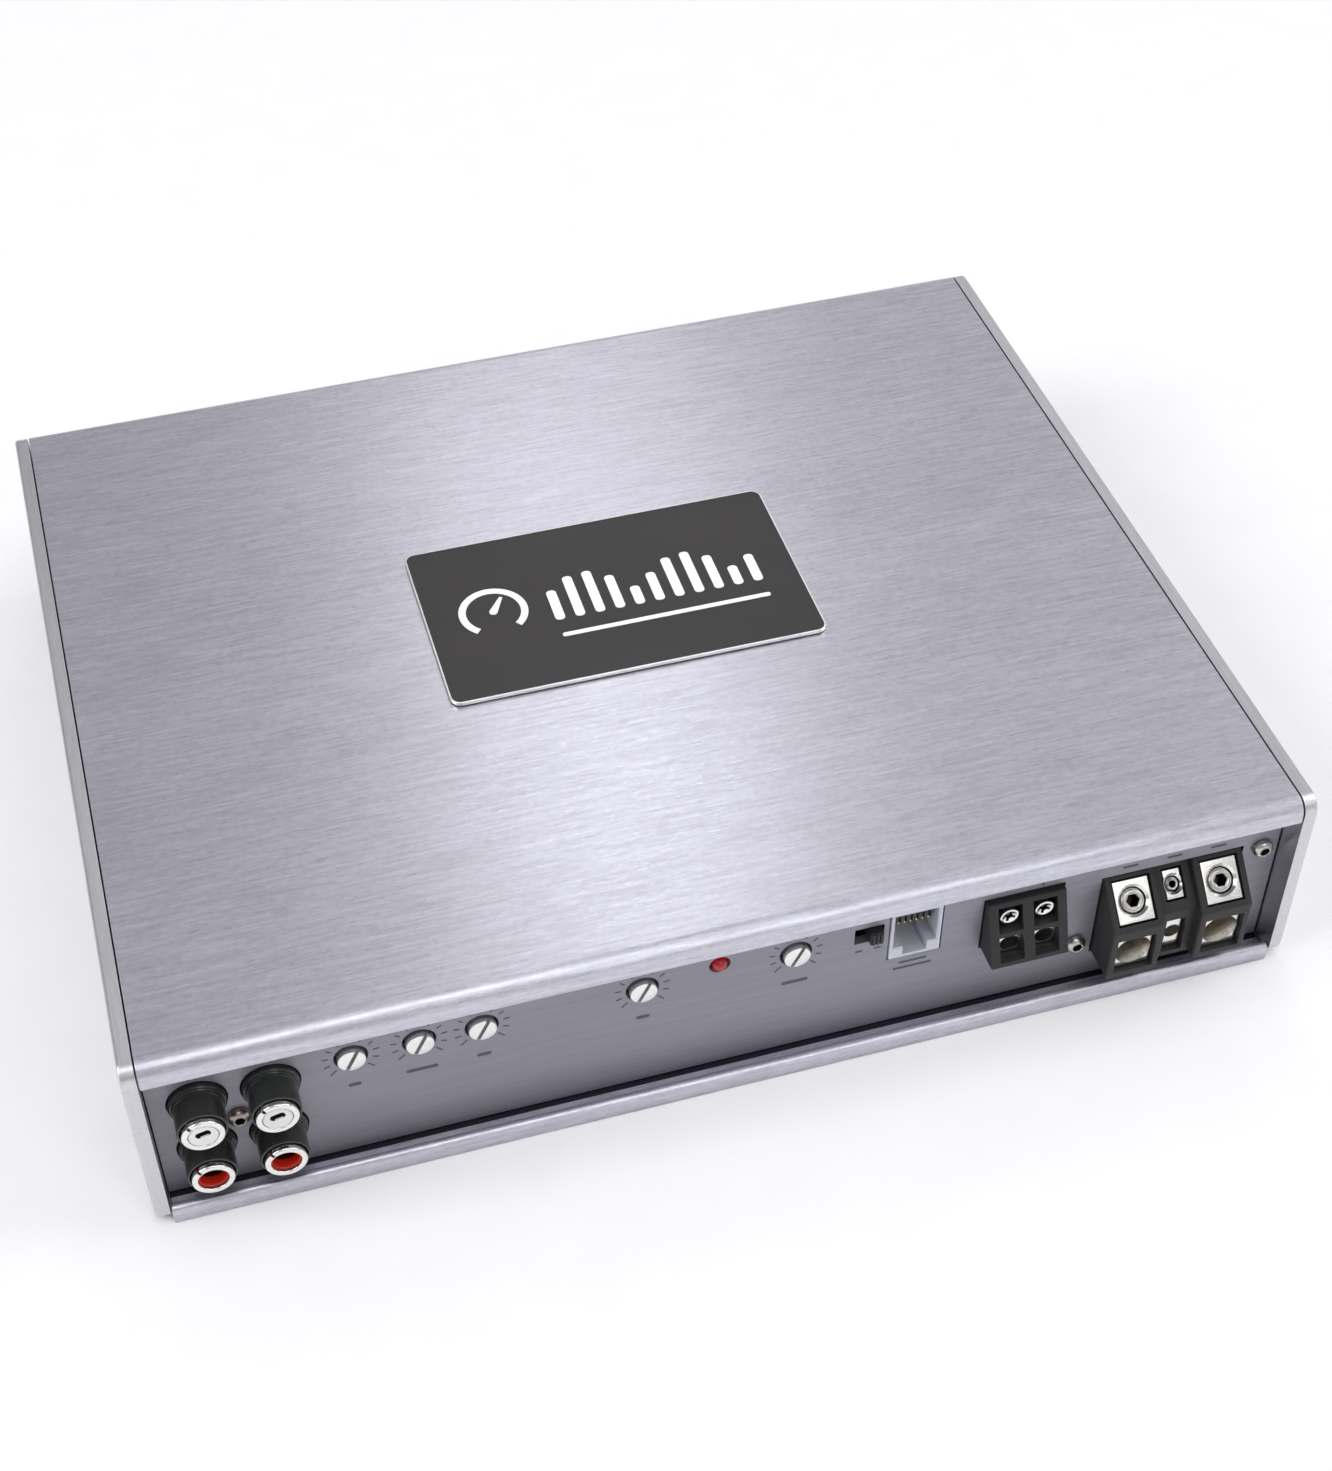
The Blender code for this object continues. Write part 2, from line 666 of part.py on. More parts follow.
def control_board():
    """Upright board behind the controls, between the sockets and the jack."""
    return block(-85.5, 31.0, CONTROL_Y, CONTROL_Y + BOARD_THICK, 12.0, 35.4)


def ring_coil(outer, inner, height, round_edge):
    """A wound ring with its axis along Z and its foot at z = 0."""
    section = rounded(inner, outer, 0.0, height, (round_edge,) * 4, 2)
    return spun(turned([(r, -y) for r, y in section], 24), "X", -90)


def capacitor(radius, height):
    """Electrolytic can with a groove near its foot, its axis along Z and its foot at z = 0."""
    groove = 3.0
    profile = [
        (0, 0.0), (radius, 0.0), (radius, groove - 0.8), (radius - 0.6, groove), (radius, groove + 0.8),
        (radius, height - 0.8), (radius - 0.8, height), (0, height),
    ]
    return spun(turned([(r, -y) for r, y in profile]), "X", -90)


def power_transistor():
    """Flat case with its mounting hole, its back at y = 0 and its foot at z = 0."""
    case = block(-8.0, 8.0, -5.0, 0.0, 0.0, 20.0)
    return cut(case, rod(1.8, -6.0, 1.0, 0.0, 15.0, 16))


BADGE_SIZE = (83.0, 49.5)
BADGE_THICK = 0.8
BADGE_CENTRE = (0.5, FRONT + 100.5)


def badge_plate():
    half_x, half_y = BADGE_SIZE[0] / 2, BADGE_SIZE[1] / 2
    return prism(rounded(-half_x, half_x, -half_y, half_y, (2.5,) * 4), 0.0, BADGE_THICK, "Z")


def mirrored(mesh):
    """A copy of a mesh mirrored across the YZ plane."""
    copy = mesh.copy()
    copy.transform(Matrix.Scale(-1.0, 4, (1.0, 0.0, 0.0)))
    copy.flip_normals()
    return copy


def build():
    for obj in list(bpy.data.objects):
        bpy.data.objects.remove(obj)
    frame = bpy.data.objects.new("car_amplifier", None)
    bpy.context.collection.objects.link(frame)

    aluminium = material("brushed_aluminium", (0.62, 0.62, 0.68), 0.32, 1.0)
    anodised = material("anodised_panel", (0.27, 0.26, 0.31), 0.45, 0.8)
    charcoal = material("charcoal_badge", (0.05, 0.048, 0.05), 0.5, 0.0)
    black = material("black_plastic", (0.025, 0.025, 0.025), 0.45, 0.0)
    nickel = material("bright_nickel", (0.82, 0.81, 0.78), 0.2, 1.0)
    dark_steel = material("dark_steel", (0.35, 0.32, 0.3), 0.35, 1.0)
    white = material("white_plastic", (0.85, 0.85, 0.84), 0.4, 0.0)
    red = material("red_plastic", (0.6, 0.03, 0.02), 0.4, 0.0)
    lens = material("red_lens", (0.45, 0.0, 0.01), 0.15, 0.0)
    pale = material("pale_plastic", (0.62, 0.64, 0.72), 0.4, 0.0)
    laminate = material("green_laminate", (0.03, 0.12, 0.05), 0.5, 0.0)
    winding = material("copper_winding", (0.55, 0.22, 0.08), 0.35, 1.0)
    sleeve = material("capacitor_sleeve", (0.02, 0.03, 0.08), 0.35, 0.0)

    place("heatsink_shell", heatsink_shell(), aluminium)
    place("base_tray", base_tray(), aluminium)
    cap = end_cap()
    place("end_cap_right", cap, aluminium, (WIDTH / 2, 0.0, 0.0))
    place("end_cap_left", mirrored(cap), aluminium, (-WIDTH / 2, 0.0, 0.0))
    screw = countersunk_screw()
    for side, word in ((1, "right"), (-1, "left")):
        for number, (y, z) in enumerate(cap_screw_places(), 1):
            spot = (side * WIDTH / 2, y, z)
            place(f"cap_screw_{word}_{number}", screw, dark_steel, spot, (0, 0, side * 90))
    place("front_panel", front_panel(), anodised)
    place("badge_plate", badge_plate(), charcoal, (*BADGE_CENTRE, HEIGHT + GAP))

    place("socket_block", socket_block(), black)
    shell, insert = socket_shell(), socket_insert()
    for number, (x, z) in enumerate(socket_centres(), 1):
        colour, word = (white, "white") if number <= 2 else (red, "red")
        place(f"socket_shell_{number}", shell, nickel, (x, TIP, z))
        place(f"socket_insert_{word}_{2 - number % 2}", insert, colour, (x, TIP + 0.9, z))
    place("socket_block_screw", pan_screw(7.0), dark_steel, (SOCKET_X, PANEL_FACE - GAP, SOCKET_Z))
    for word, (x, z) in PANEL_SCREWS.items():
        place(f"panel_screw_{word}", pan_screw(6.0), nickel, (x, PANEL_FACE - GAP, z))

    knob, pot = trimmer_knob(), trimmer_pot()
    for word, x in TRIMMERS.items():
        face = PANEL_FACE - TRIMMER_PROUD
        place(f"trimmer_knob_{word}", knob, nickel, (x, face, TRIMMER_Z), (0, TRIMMER_ANGLE, 0))
        place(f"trimmer_pot_{word}", pot, black, (x, POT_FRONT, TRIMMER_Z))
    place("power_led", power_led(), lens, (LED_X, PANEL_FACE - 1.2, LED_Z))
    place("slide_switch_body", slide_switch_body(), black, (SWITCH_X, 0.0, SWITCH_Z))
    place("slide_switch_knob", slide_switch_knob(), black, (SWITCH_X + SWITCH_TRAVEL / 2, 0.0, SWITCH_Z))
    place("remote_jack", remote_jack(), pale, (JACK_X, 0.0, JACK_Z))

    place("speaker_terminal_block", speaker_block(), black)
    clamp, terminal_screw = speaker_clamp(), slotted_screw(SPEAKER_SCREW_RADIUS, 9.6)
    clamp_z = SPEAKER_Z - SPEAKER_HEIGHT / 2 + SPEAKER_CELL_FEET[0] + GAP
    for number, x in enumerate(speaker_cells(), 1):
        place(f"speaker_clamp_{number}", clamp, nickel, (x, SPEAKER_CLAMP_FRONT, clamp_z))
        place(f"speaker_screw_{number}", terminal_screw, nickel, (x, SPEAKER_SCREW_FACE, speaker_screw_z()))

    place("power_terminal_block", power_block(), black)
    for word, cell in POWER_CELLS.items():
        place(f"power_clamp_{word}", cell.clamp(), nickel)
        place(f"power_screw_{word}", cell.set_screw(), nickel, cell.screw_head(), (-45, 0, 0))

    on_board = BOARD_TOP + GAP
    place("main_board", main_board(), laminate)
    place("control_board", control_board(), laminate)
    place("power_transformer", ring_coil(22.0, 8.0, 18.0, 5.0), winding, (-62.0, -12.0, on_board))
    place("output_inductor", ring_coil(13.5, 5.5, 12.0, 3.5), winding, (52.0, -14.0, on_board))
    for number, x in enumerate((-8.0, 16.0), 1):
        place(f"filter_capacitor_{number}", capacitor(9.0, 26.0), sleeve, (x, -14.0, on_board))
    for number, x in enumerate((-40.0, 40.0), 1):
        place(f"power_transistor_{number}", power_transistor(), black, (x, RAIL_Y - GAP, 16.0))


build()
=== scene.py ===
"""Looks of the car amplifier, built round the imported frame.

Shapes are made in millimetres and materials work in metres. X is the width, -Y the front and Z up. A round
shape is turned about an axis along Y, with its face at y = 0, and is then spun and moved into its place.
"""
import math

import bmesh
import bpy
from mathutils import Matrix, Vector


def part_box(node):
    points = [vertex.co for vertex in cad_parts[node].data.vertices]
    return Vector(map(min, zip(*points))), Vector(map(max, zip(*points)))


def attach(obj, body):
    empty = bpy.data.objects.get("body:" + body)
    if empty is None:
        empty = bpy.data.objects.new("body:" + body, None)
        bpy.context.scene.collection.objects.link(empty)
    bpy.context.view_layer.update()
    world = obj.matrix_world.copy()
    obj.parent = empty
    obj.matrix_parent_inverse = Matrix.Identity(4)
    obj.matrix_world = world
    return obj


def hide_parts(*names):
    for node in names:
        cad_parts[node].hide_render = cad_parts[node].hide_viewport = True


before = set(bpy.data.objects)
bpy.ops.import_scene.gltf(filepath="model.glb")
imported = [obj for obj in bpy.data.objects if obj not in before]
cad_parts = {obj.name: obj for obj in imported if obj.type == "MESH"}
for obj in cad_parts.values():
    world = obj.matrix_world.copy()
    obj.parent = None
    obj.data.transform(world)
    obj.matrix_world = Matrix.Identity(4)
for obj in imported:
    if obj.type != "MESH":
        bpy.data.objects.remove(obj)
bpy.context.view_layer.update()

MM = 0.001
GAP = 0.3
SHARP_ANGLE = 34.0
BEVEL_ANGLE = 50.0
CURVE_STEPS = 14
ROUND = 64
PAST = 1.0


# Where things are, from the frame


def span(node):
    """The lowest and highest corners of a CAD node, in millimetres."""
    low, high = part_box(node)
    return low / MM, high / MM


def middle(node):
    low, high = span(node)
    return (low + high) / 2


CASE_LOW, CASE_HIGH = span("heatsink_shell")
CAP_LOW, CAP_HIGH = span("end_cap_right")
BOARD_LOW, BOARD_HIGH = span("main_board")
FRONT, BACK, TOP = CASE_LOW.y, CASE_HIGH.y, CASE_HIGH.z
HALF_SPAN = CASE_HIGH.x
PANEL_FACE = span("front_panel")[0].y
PANEL_BACK = span("front_panel")[1].y
BEHIND = PANEL_BACK + GAP

EDGE_RADIUS = 3.5
FOOT_RADIUS = 5.0
TOP_THICK = 4.0
REAR_THICK = 3.0
FLOOR_THICK = 2.0
LIP_DROP = 5.5
RIDGE_HEIGHT = 4.5
RIDGE_THICK = 2.2
SHADE_LINE = PANEL_FACE - 1.3


# Shapes


def arc(centre, radius, start, end, steps=CURVE_STEPS):
    """Points on a circle from one angle to another, in degrees."""
    points = []
    for step in range(steps + 1):
        angle = math.radians(start + (end - start) * step / steps)
        points.append((centre[0] + radius * math.cos(angle), centre[1] + radius * math.sin(angle)))
    return points


def rounded(x0, x1, y0, y1, radii, steps=CURVE_STEPS):
    """A rectangle whose corners, from the lower left and anticlockwise, have these radii."""
    corners = (
        (x0 + radii[0], y0 + radii[0], 180),
        (x1 - radii[1], y0 + radii[1], 270),
        (x1 - radii[2], y1 - radii[2], 0),
        (x0 + radii[3], y1 - radii[3], 90),
    )
    points = []
    for (x, y, start), radius in zip(corners, radii):
        points += arc((x, y), radius, start, start + 90, steps) if radius else [(x, y)]
    return points


def finished(bm):
    """The mesh of a bmesh, with its faces pointing out."""
    bmesh.ops.recalc_face_normals(bm, faces=bm.faces)
    mesh = bpy.data.meshes.new("shape")
    bm.to_mesh(mesh)
    bm.free()
    return mesh


def prism(outline, start, end, axis="X"):
    """An outline extruded along an axis. It lies in YZ for X, in XZ for Y and in XY for Z."""
    spots = {
        "X": lambda a, b: (start, a, b),
        "Y": lambda a, b: (a, start, b),
        "Z": lambda a, b: (a, b, start),
    }
    bm = bmesh.new()
    face = bm.faces.new([bm.verts.new(spots[axis](a, b)) for a, b in outline])
    grown = bmesh.ops.extrude_face_region(bm, geom=[face])["geom"]
    step = Vector([end - start if letter == axis else 0.0 for letter in "XYZ"])
    bmesh.ops.translate(bm, vec=step, verts=[v for v in grown if isinstance(v, bmesh.types.BMVert)])
    return finished(bm)


def block(x0, x1, y0, y1, z0, z1):
    return prism([(x0, y0), (x1, y0), (x1, y1), (x0, y1)], z0, z1, "Z")


def box_of(node):
    """A block that fills a node's box."""
    low, high = span(node)
    return block(low.x, high.x, low.y, high.y, low.z, high.z)


def bridged(bm, rings, segments):
    """Faces between neighbouring rings, closed into a loop unless the first ring is a single point."""
    pairs = list(zip(rings, rings[1:]))
    if len(rings[0]) > 1:
        pairs.append((rings[-1], rings[0]))
    for first, second in pairs:
        for index in range(segments):
            after = (index + 1) % segments
            if len(first) == 1:
                bm.faces.new((first[0], second[index], second[after]))
            elif len(second) == 1:
                bm.faces.new((first[index], first[after], second[0]))
            else:
                bm.faces.new((first[index], first[after], second[after], second[index]))


def turned(profile, segments=ROUND, at=(0.0, 0.0, 0.0)):
    """A solid turned round an axis along Y.

    The profile holds (radius, y) or (radius, y, 6) for a hexagonal section, from tip to tip.
    """
    bm = bmesh.new()
    rings = []
    for radius, y, *sides in profile:
        if radius == 0:
            rings.append([bm.verts.new((at[0], at[1] + y, at[2]))])
            continue
        ring = []
        for index in range(segments):
            angle = 2 * math.pi * index / segments
            reach = radius
            if sides:
                wedge = 2 * math.pi / sides[0]
                reach = radius * math.cos(wedge / 2) / math.cos(angle % wedge - wedge / 2)
            x = at[0] + reach * math.cos(angle)
            ring.append(bm.verts.new((x, at[1] + y, at[2] + reach * math.sin(angle))))
        rings.append(ring)
    bridged(bm, rings, segments)
    return finished(bm)


def rod(radius, y0, y1, x=0.0, z=0.0, segments=ROUND):
    """A cylinder along Y, as a cutter or part of a solid."""
    return turned([(0, y0), (radius, y0), (radius, y1), (0, y1)], segments, (x, 0.0, z))


def shown(name, data):
    """A new object in the scene that holds a mesh, a camera or a lamp."""
    obj = bpy.data.objects.new(name, data)
    bpy.context.collection.objects.link(obj)
    return obj


def combined(mesh, other, operation):
    """The applied Boolean of two meshes."""
    target, operand = shown("target", mesh), shown("operand", other)
    modifier = target.modifiers.new("Boolean", "BOOLEAN")
    modifier.operation = operation
    modifier.object = operand
    shaped = target.evaluated_get(bpy.context.evaluated_depsgraph_get())
    result = bpy.data.meshes.new_from_object(shaped)
    bpy.data.objects.remove(target)
    bpy.data.objects.remove(operand)
    return result


def cut(mesh, *cutters):
    for cutter in cutters:
        mesh = combined(mesh, cutter, "DIFFERENCE")
    return mesh


def fused(mesh, *others):
    for other in others:
        mesh = combined(mesh, other, "UNION")
    return mesh


def softened(mesh, width, segments=3):
    """Round off the corners of a shape that hasn't been cut yet."""
    bm = bmesh.new()
    bm.from_mesh(mesh)
    bm.normal_update()
    corners = [edge for edge in bm.edges if edge.calc_face_angle() > math.radians(SHARP_ANGLE)]
    bmesh.ops.bevel(
        bm, geom=corners, offset=width, segments=segments, profile=0.5, affect="EDGES", miter_outer="ARC",
    )
    return finished(bm)


def flared(x0, x1, z0, z1, face, lip):
    """A cutter that opens out the mouth of a rectangular opening in a face towards -Y."""
    bm = bmesh.new()
    rings = []
    for y, grow in ((face - PAST, lip + PAST), (face + lip, 0.0)):
        left, right, low, high = x0 - grow, x1 + grow, z0 - grow, z1 + grow
        corners = ((left, low), (right, low), (right, high), (left, high))
        rings.append([bm.verts.new((x, y, z)) for x, z in corners])
    for index in range(4):
        after = (index + 1) % 4
        bm.faces.new((rings[0][index], rings[0][after], rings[1][after], rings[1][index]))
    bm.faces.new(rings[0])
    bm.faces.new(rings[1])
    return finished(bm)


def joined(*meshes):
    """Several meshes in one, not merged, for marks that don't touch each other."""
    bm = bmesh.new()
    for mesh in meshes:
        bm.from_mesh(mesh)
    mesh = bpy.data.meshes.new("joined")
    bm.to_mesh(mesh)
    bm.free()
    return mesh


def spun(mesh, axis, degrees):
    copy = mesh.copy()
    copy.transform(Matrix.Rotation(math.radians(degrees), 4, axis))
    return copy


def moved(mesh, x=0.0, y=0.0, z=0.0):
    copy = mesh.copy()
    copy.transform(Matrix.Translation((x, y, z)))
    return copy


def fronting(mesh, node):
    """A shape whose face is at y = 0, moved to the front of a node's box."""
    mid = middle(node)
    return moved(mesh, mid.x, span(node)[0].y, mid.z)


def upright(profile, segments=ROUND):
    """A solid turned round the Z axis. The profile holds (radius, height)."""
    return spun(turned([(radius, -height) for radius, height in profile], segments), "X", -90)


def on_foot(mesh, node):
    """A shape whose foot is at z = 0, moved to the foot of a node's box."""
    mid = middle(node)
    return moved(mesh, mid.x, mid.y, span(node)[0].z)


def thread(radius, groove, pitch, start, end):
    """Rings of a threaded shank. The groove holds (depth, y), and is repeated at each pitch."""
    rings = []
    y = start
    while y < end:
        rings += [(radius - depth, y + step) for depth, step in groove]
        y += pitch
    return rings


def mirrored(mesh):
    """A copy of a mesh mirrored across the YZ plane."""
    copy = mesh.copy()
    copy.transform(Matrix.Scale(-1.0, 4, (1.0, 0.0, 0.0)))
    copy.flip_normals()
    return copy


def off_axis(spot, x=0.0, z=0.0):
    """How far a point is from an axis along Y."""
    return math.hypot(spot.x - x, spot.z - z)


def marked(mesh, test):
    """Give the faces whose middles pass a test the second finish of their piece."""
    for face in mesh.polygons:
        if test(face.center):
            face.material_index = 1
    return mesh


def piece(name, mesh, finish, slot, *replaced, body="root", second=None, bevel=0.0):
    """Put a shape made in millimetres into the scene, riding on its body in place of CAD nodes."""
    own = mesh.copy()
    own.name = name
    own.transform(Matrix.Scale(MM, 4))
    own.materials.append(finish)
    if second:
        own.materials.append(second)
    own.shade_smooth()
    obj = shown(name, own)
    if not bevel:
        own.set_sharp_from_angle(angle=math.radians(SHARP_ANGLE))
        shading = obj.modifiers.new("Even shading", "WEIGHTED_NORMAL")
        shading.keep_sharp = True
    else:
        rounding = obj.modifiers.new("Bevel", "BEVEL")
        rounding.width = bevel * MM
        rounding.segments = 3
        rounding.limit_method = "ANGLE"
        rounding.angle_limit = math.radians(BEVEL_ANGLE)
        rounding.harden_normals = True
        rounding.miter_outer = "MITER_ARC"
    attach(obj, body)
    if replaced:
        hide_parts(*replaced)


# Materials

WORN_REACH = 0.00022


class Finish:
    """A procedural material: grain and blotches drive its tone, its roughness and its bump."""

    def __init__(self, name, colour, metallic=0.0):
        self.material = bpy.data.materials.new(name)
        self.material.use_nodes = True
        self.tree = self.material.node_tree
        self.shader = self.tree.nodes["Principled BSDF"]
        self.shader.inputs["Metallic"].default_value = metallic
        self.colour = self.rgb(colour)
        self.place = self.node("ShaderNodeTexCoord").outputs["Object"]
        self.bumps = None

    def node(self, kind, sockets=(), **settings):
        """A node whose inputs are set to values or linked to other nodes' outputs."""
        node = self.tree.nodes.new(kind)
        for key, value in settings.items():
            setattr(node, key, value)
        for key, value in dict(sockets).items():
            if isinstance(value, bpy.types.NodeSocket):
                self.tree.links.new(value, node.inputs[key])
            else:
                node.inputs[key].default_value = value
        return node

    def rgb(self, colour):
        node = self.node("ShaderNodeRGB")
        node.outputs[0].default_value = (*colour, 1.0)
        return node.outputs[0]

    def noise(self, per_metre, detail=3.0, rough=0.6):
        """Noise from 0 to 1 with so many features per metre along each axis."""
        scaled = self.node("ShaderNodeMapping", {"Vector": self.place, "Scale": per_metre})
        texture = self.node(
            "ShaderNodeTexNoise",
            {"Vector": scaled.outputs[0], "Scale": 1.0, "Detail": detail, "Roughness": rough},
        )
        return texture.outputs["Fac"]

    def ranged(self, value, low, high, start=0.3, end=0.7):
        node = self.node(
            "ShaderNodeMapRange",
            {"Value": value, "From Min": start, "From Max": end, "To Min": low, "To Max": high},
        )
        return node.outputs["Result"]

    def tone(self, value, low, high, start=0.3, end=0.7):
        """Darken or lighten the colour so far where the value is low or high."""
        factor = self.ranged(value, low, high, start, end)
        node = self.node("ShaderNodeVectorMath", {0: self.colour, 1: factor}, operation="MULTIPLY")
        self.colour = node.outputs[0]

    def stain(self, mask, colour):
        """Blend another colour in where the mask is 1."""
        node = self.node("ShaderNodeMix", data_type="RGBA")
        self.tree.links.new(mask, node.inputs[0])
        self.tree.links.new(self.colour, node.inputs[6])
        node.inputs[7].default_value = (*colour, 1.0)
        self.colour = node.outputs[2]

    def wear(self, colour, strength=0.6):
        """Lighter, polished edges where handling rubs them: where a rounded normal leaves the true one."""
        soft = self.node("ShaderNodeBevel", {"Radius": WORN_REACH}, samples=4).outputs[0]
        true = self.node("ShaderNodeNewGeometry").outputs["Normal"]
        match = self.node("ShaderNodeVectorMath", {0: soft, 1: true}, operation="DOT_PRODUCT")
        edge = self.ranged(match.outputs["Value"], strength, 0.0, 0.80, 0.985)
        patchy = self.ranged(self.noise((420, 420, 420)), 0.2, 1.0)
        mask = self.node("ShaderNodeMath", {0: edge, 1: patchy}, operation="MULTIPLY").outputs[0]
        self.stain(mask, colour)

    def rough(self, value, low, high, start=0.3, end=0.7):
        self.tree.links.new(self.ranged(value, low, high, start, end), self.shader.inputs["Roughness"])

    def bump(self, value, height):
        """Relief of so many metres from lowest to highest."""
        sockets = {"Height": value, "Distance": height, "Strength": 1.0}
        if self.bumps:
            sockets["Normal"] = self.bumps
        self.bumps = self.node("ShaderNodeBump", sockets).outputs["Normal"]

    def brushed(self, direction, amount):
        """Stretch the gloss across grooves that run along a direction."""
        normal = self.node("ShaderNodeNewGeometry").outputs["Normal"]
        across = self.node("ShaderNodeVectorMath", {0: normal, 1: direction}, operation="CROSS_PRODUCT")
        self.tree.links.new(across.outputs[0], self.shader.inputs["Tangent"])
        self.shader.inputs["Anisotropic"].default_value = amount

    def set(self, **values):
        for key, value in values.items():
            self.shader.inputs[key.replace("_", " ")].default_value = value

    def done(self):
        self.tree.links.new(self.colour, self.shader.inputs["Base Color"])
        if self.bumps:
            self.tree.links.new(self.bumps, self.shader.inputs["Normal"])
        return self.material


def brushed_metal(
    name, colour, direction, streak, contrast, roughness, relief, stretch, worn=False, metallic=1.0, grain=0.0
):
    """Metal brushed along an axis: long and fine streaks over specks and broad, faint clouds."""
    along = {"X": (1.0, 0.0, 0.0), "Y": (0.0, 1.0, 0.0), "Z": (0.0, 0.0, 1.0)}[direction]

    def scales(lengthwise, across):
        return tuple(lengthwise if part else across for part in along)

    made = Finish(name, colour, metallic)
    long_streaks = made.noise(scales(streak, streak * 18), 4.0, 0.7)
    fine_streaks = made.noise(scales(streak * 4, streak * 70), 3.0, 0.7)
    specks = made.noise(scales(streak * 8, streak * 13), 2.0, 0.6)
    clouds = made.noise(scales(9, 26), 2.0, 0.5)
    made.tone(long_streaks, 1.0 - contrast, 1.0 + contrast, 0.34, 0.66)
    made.tone(fine_streaks, 1.0 - contrast * 0.6, 1.0 + contrast * 0.6, 0.3, 0.7)
    made.tone(clouds, 0.97, 1.03)
    made.tone(specks, 1.0 - grain, 1.0 + grain, 0.35, 0.65)
    made.rough(fine_streaks, *roughness)
    made.bump(long_streaks, relief)
    made.bump(fine_streaks, relief * 0.35)
    made.brushed(along, stretch)
    if worn:
        made.wear((0.86, 0.86, 0.9), 0.5)
    return made.done()


def moulded(name, colour, roughness, edge, relief=12e-6, speckle=0.12, gloss=0.5):
    """Moulded plastic: spark-eroded grain, slight shading and duller rubbed edges."""
    made = Finish(name, colour)
    grain = made.noise((1500, 1500, 1500), 4.0, 0.6)
    clouds = made.noise((110, 110, 110), 2.0, 0.5)
    made.tone(grain, 1.0 - speckle, 1.0 + speckle)
    made.tone(clouds, 0.93, 1.07)
    made.rough(grain, *roughness)
    made.bump(grain, relief)
    made.wear(edge)
    made.set(Specular_IOR_Level=gloss)
    return made.done()


def plated(name, colour, roughness, tarnish, relief=3e-6):
    """Plated metal: faint polish marks, a little tarnish and fine dimples."""
    made = Finish(name, colour, 1.0)
    polish = made.noise((900, 4200, 900), 3.0, 0.6)
    patches = made.noise((260, 260, 260), 4.0, 0.6)
    made.tone(polish, 0.94, 1.05)
    made.stain(made.ranged(patches, 0.0, 0.55, 0.55, 0.8), tarnish)
    made.rough(patches, *roughness)
    made.bump(polish, relief)
    return made.done()


def circuit_laminate():
    """Green solder mask over faint copper tracks, with a fine glass weave."""
    made = Finish("circuit_laminate", (0.02, 0.11, 0.045))
    scaled = made.node("ShaderNodeMapping", {"Vector": made.place, "Scale": (230, 230, 230)})
    cells = made.node(
        "ShaderNodeTexVoronoi", {"Vector": scaled.outputs[0], "Scale": 1.0},
        feature="DISTANCE_TO_EDGE",
    )
    tracks = made.ranged(cells.outputs["Distance"], 1.0, 0.0, 0.05, 0.09)
    weave = made.noise((2400, 2400, 2400), 2.0, 0.5)
    made.stain(tracks, (0.05, 0.22, 0.08))
    made.tone(weave, 0.92, 1.08)
    made.rough(weave, 0.28, 0.42)
    made.bump(tracks, 35e-6)
    return made.done()


def glowing_lens():
    """Red moulded lens with a faint painted glow of its own, as if a warm core shone through the dome."""
    made = Finish("indicator_lens", (0.30, 0.004, 0.008))
    haze = made.noise((700, 700, 700), 2.0, 0.5)
    made.tone(haze, 0.8, 1.2)
    made.rough(haze, 0.08, 0.16)
    made.set(Transmission_Weight=0.25, IOR=1.49, Coat_Weight=0.4)
    # Painted glow: the lens gives off a faint red light of its own.
    made.set(Emission_Strength=0.16, Emission_Color=(0.75, 0.01, 0.015, 1.0))
    return made.done()


def printed(name, colour, roughness):
    """Screen print: nearly even ink with a slightly patchy edge to its gloss."""
    made = Finish(name, colour)
    ink = made.noise((1900, 1900, 1900), 3.0, 0.7)
    made.tone(ink, 0.9, 1.1)
    made.rough(ink, roughness - 0.06, roughness + 0.08)
    made.bump(ink, 4e-6)
    return made.done()


def badge_face():
    """Charcoal lacquer with a fine metallic fleck."""
    made = Finish("badge_charcoal", (0.034, 0.031, 0.032), 0.3)
    fleck = made.noise((5200, 5200, 5200), 2.0, 0.8)
    clouds = made.noise((30, 60, 30), 2.0, 0.5)
    made.tone(fleck, 0.75, 1.3)
    made.tone(clouds, 0.94, 1.06)
    made.rough(fleck, 0.34, 0.46)
    made.bump(fleck, 5e-6)
    return made.done()


ALUMINIUM = brushed_metal(
    "case_aluminium", (0.60, 0.595, 0.665), "X", 75.0, 0.12, (0.26, 0.40), 16e-6, 0.78, grain=0.045
)
CAP_METAL = brushed_metal("cap_aluminium", (0.62, 0.62, 0.65), "Y", 90.0, 0.06, (0.32, 0.44), 6e-6, 0.5, True)
PANEL_METAL = brushed_metal(
    "panel_anodised", (0.29, 0.283, 0.325), "X", 40.0, 0.05, (0.4, 0.52), 4e-6, 0.4, metallic=0.45
)
# Painted shade: a near-black finish for the floor's ledge at the panel's foot, where shade falls between the
# panel and the ridge.
LEDGE_PAINTED_SHADE = brushed_metal("ledge_painted_shade", (0.05, 0.05, 0.07), "X", 40.0, 0.1, (0.25, 0.38), 6e-6, 0.5)
BLACK = moulded("black_moulding", (0.022, 0.021, 0.022), (0.34, 0.5), (0.09, 0.09, 0.09))
SLEEVE_BLACK = moulded("socket_sleeve", (0.026, 0.028, 0.026), (0.2, 0.28), (0.05, 0.053, 0.05), 1e-6, 0.05)
SWITCH_BLACK = moulded(
    "switch_moulding", (0.008, 0.008, 0.008), (0.4, 0.5), (0.02, 0.02, 0.02), 2e-6, 0.08, gloss=0.2
)
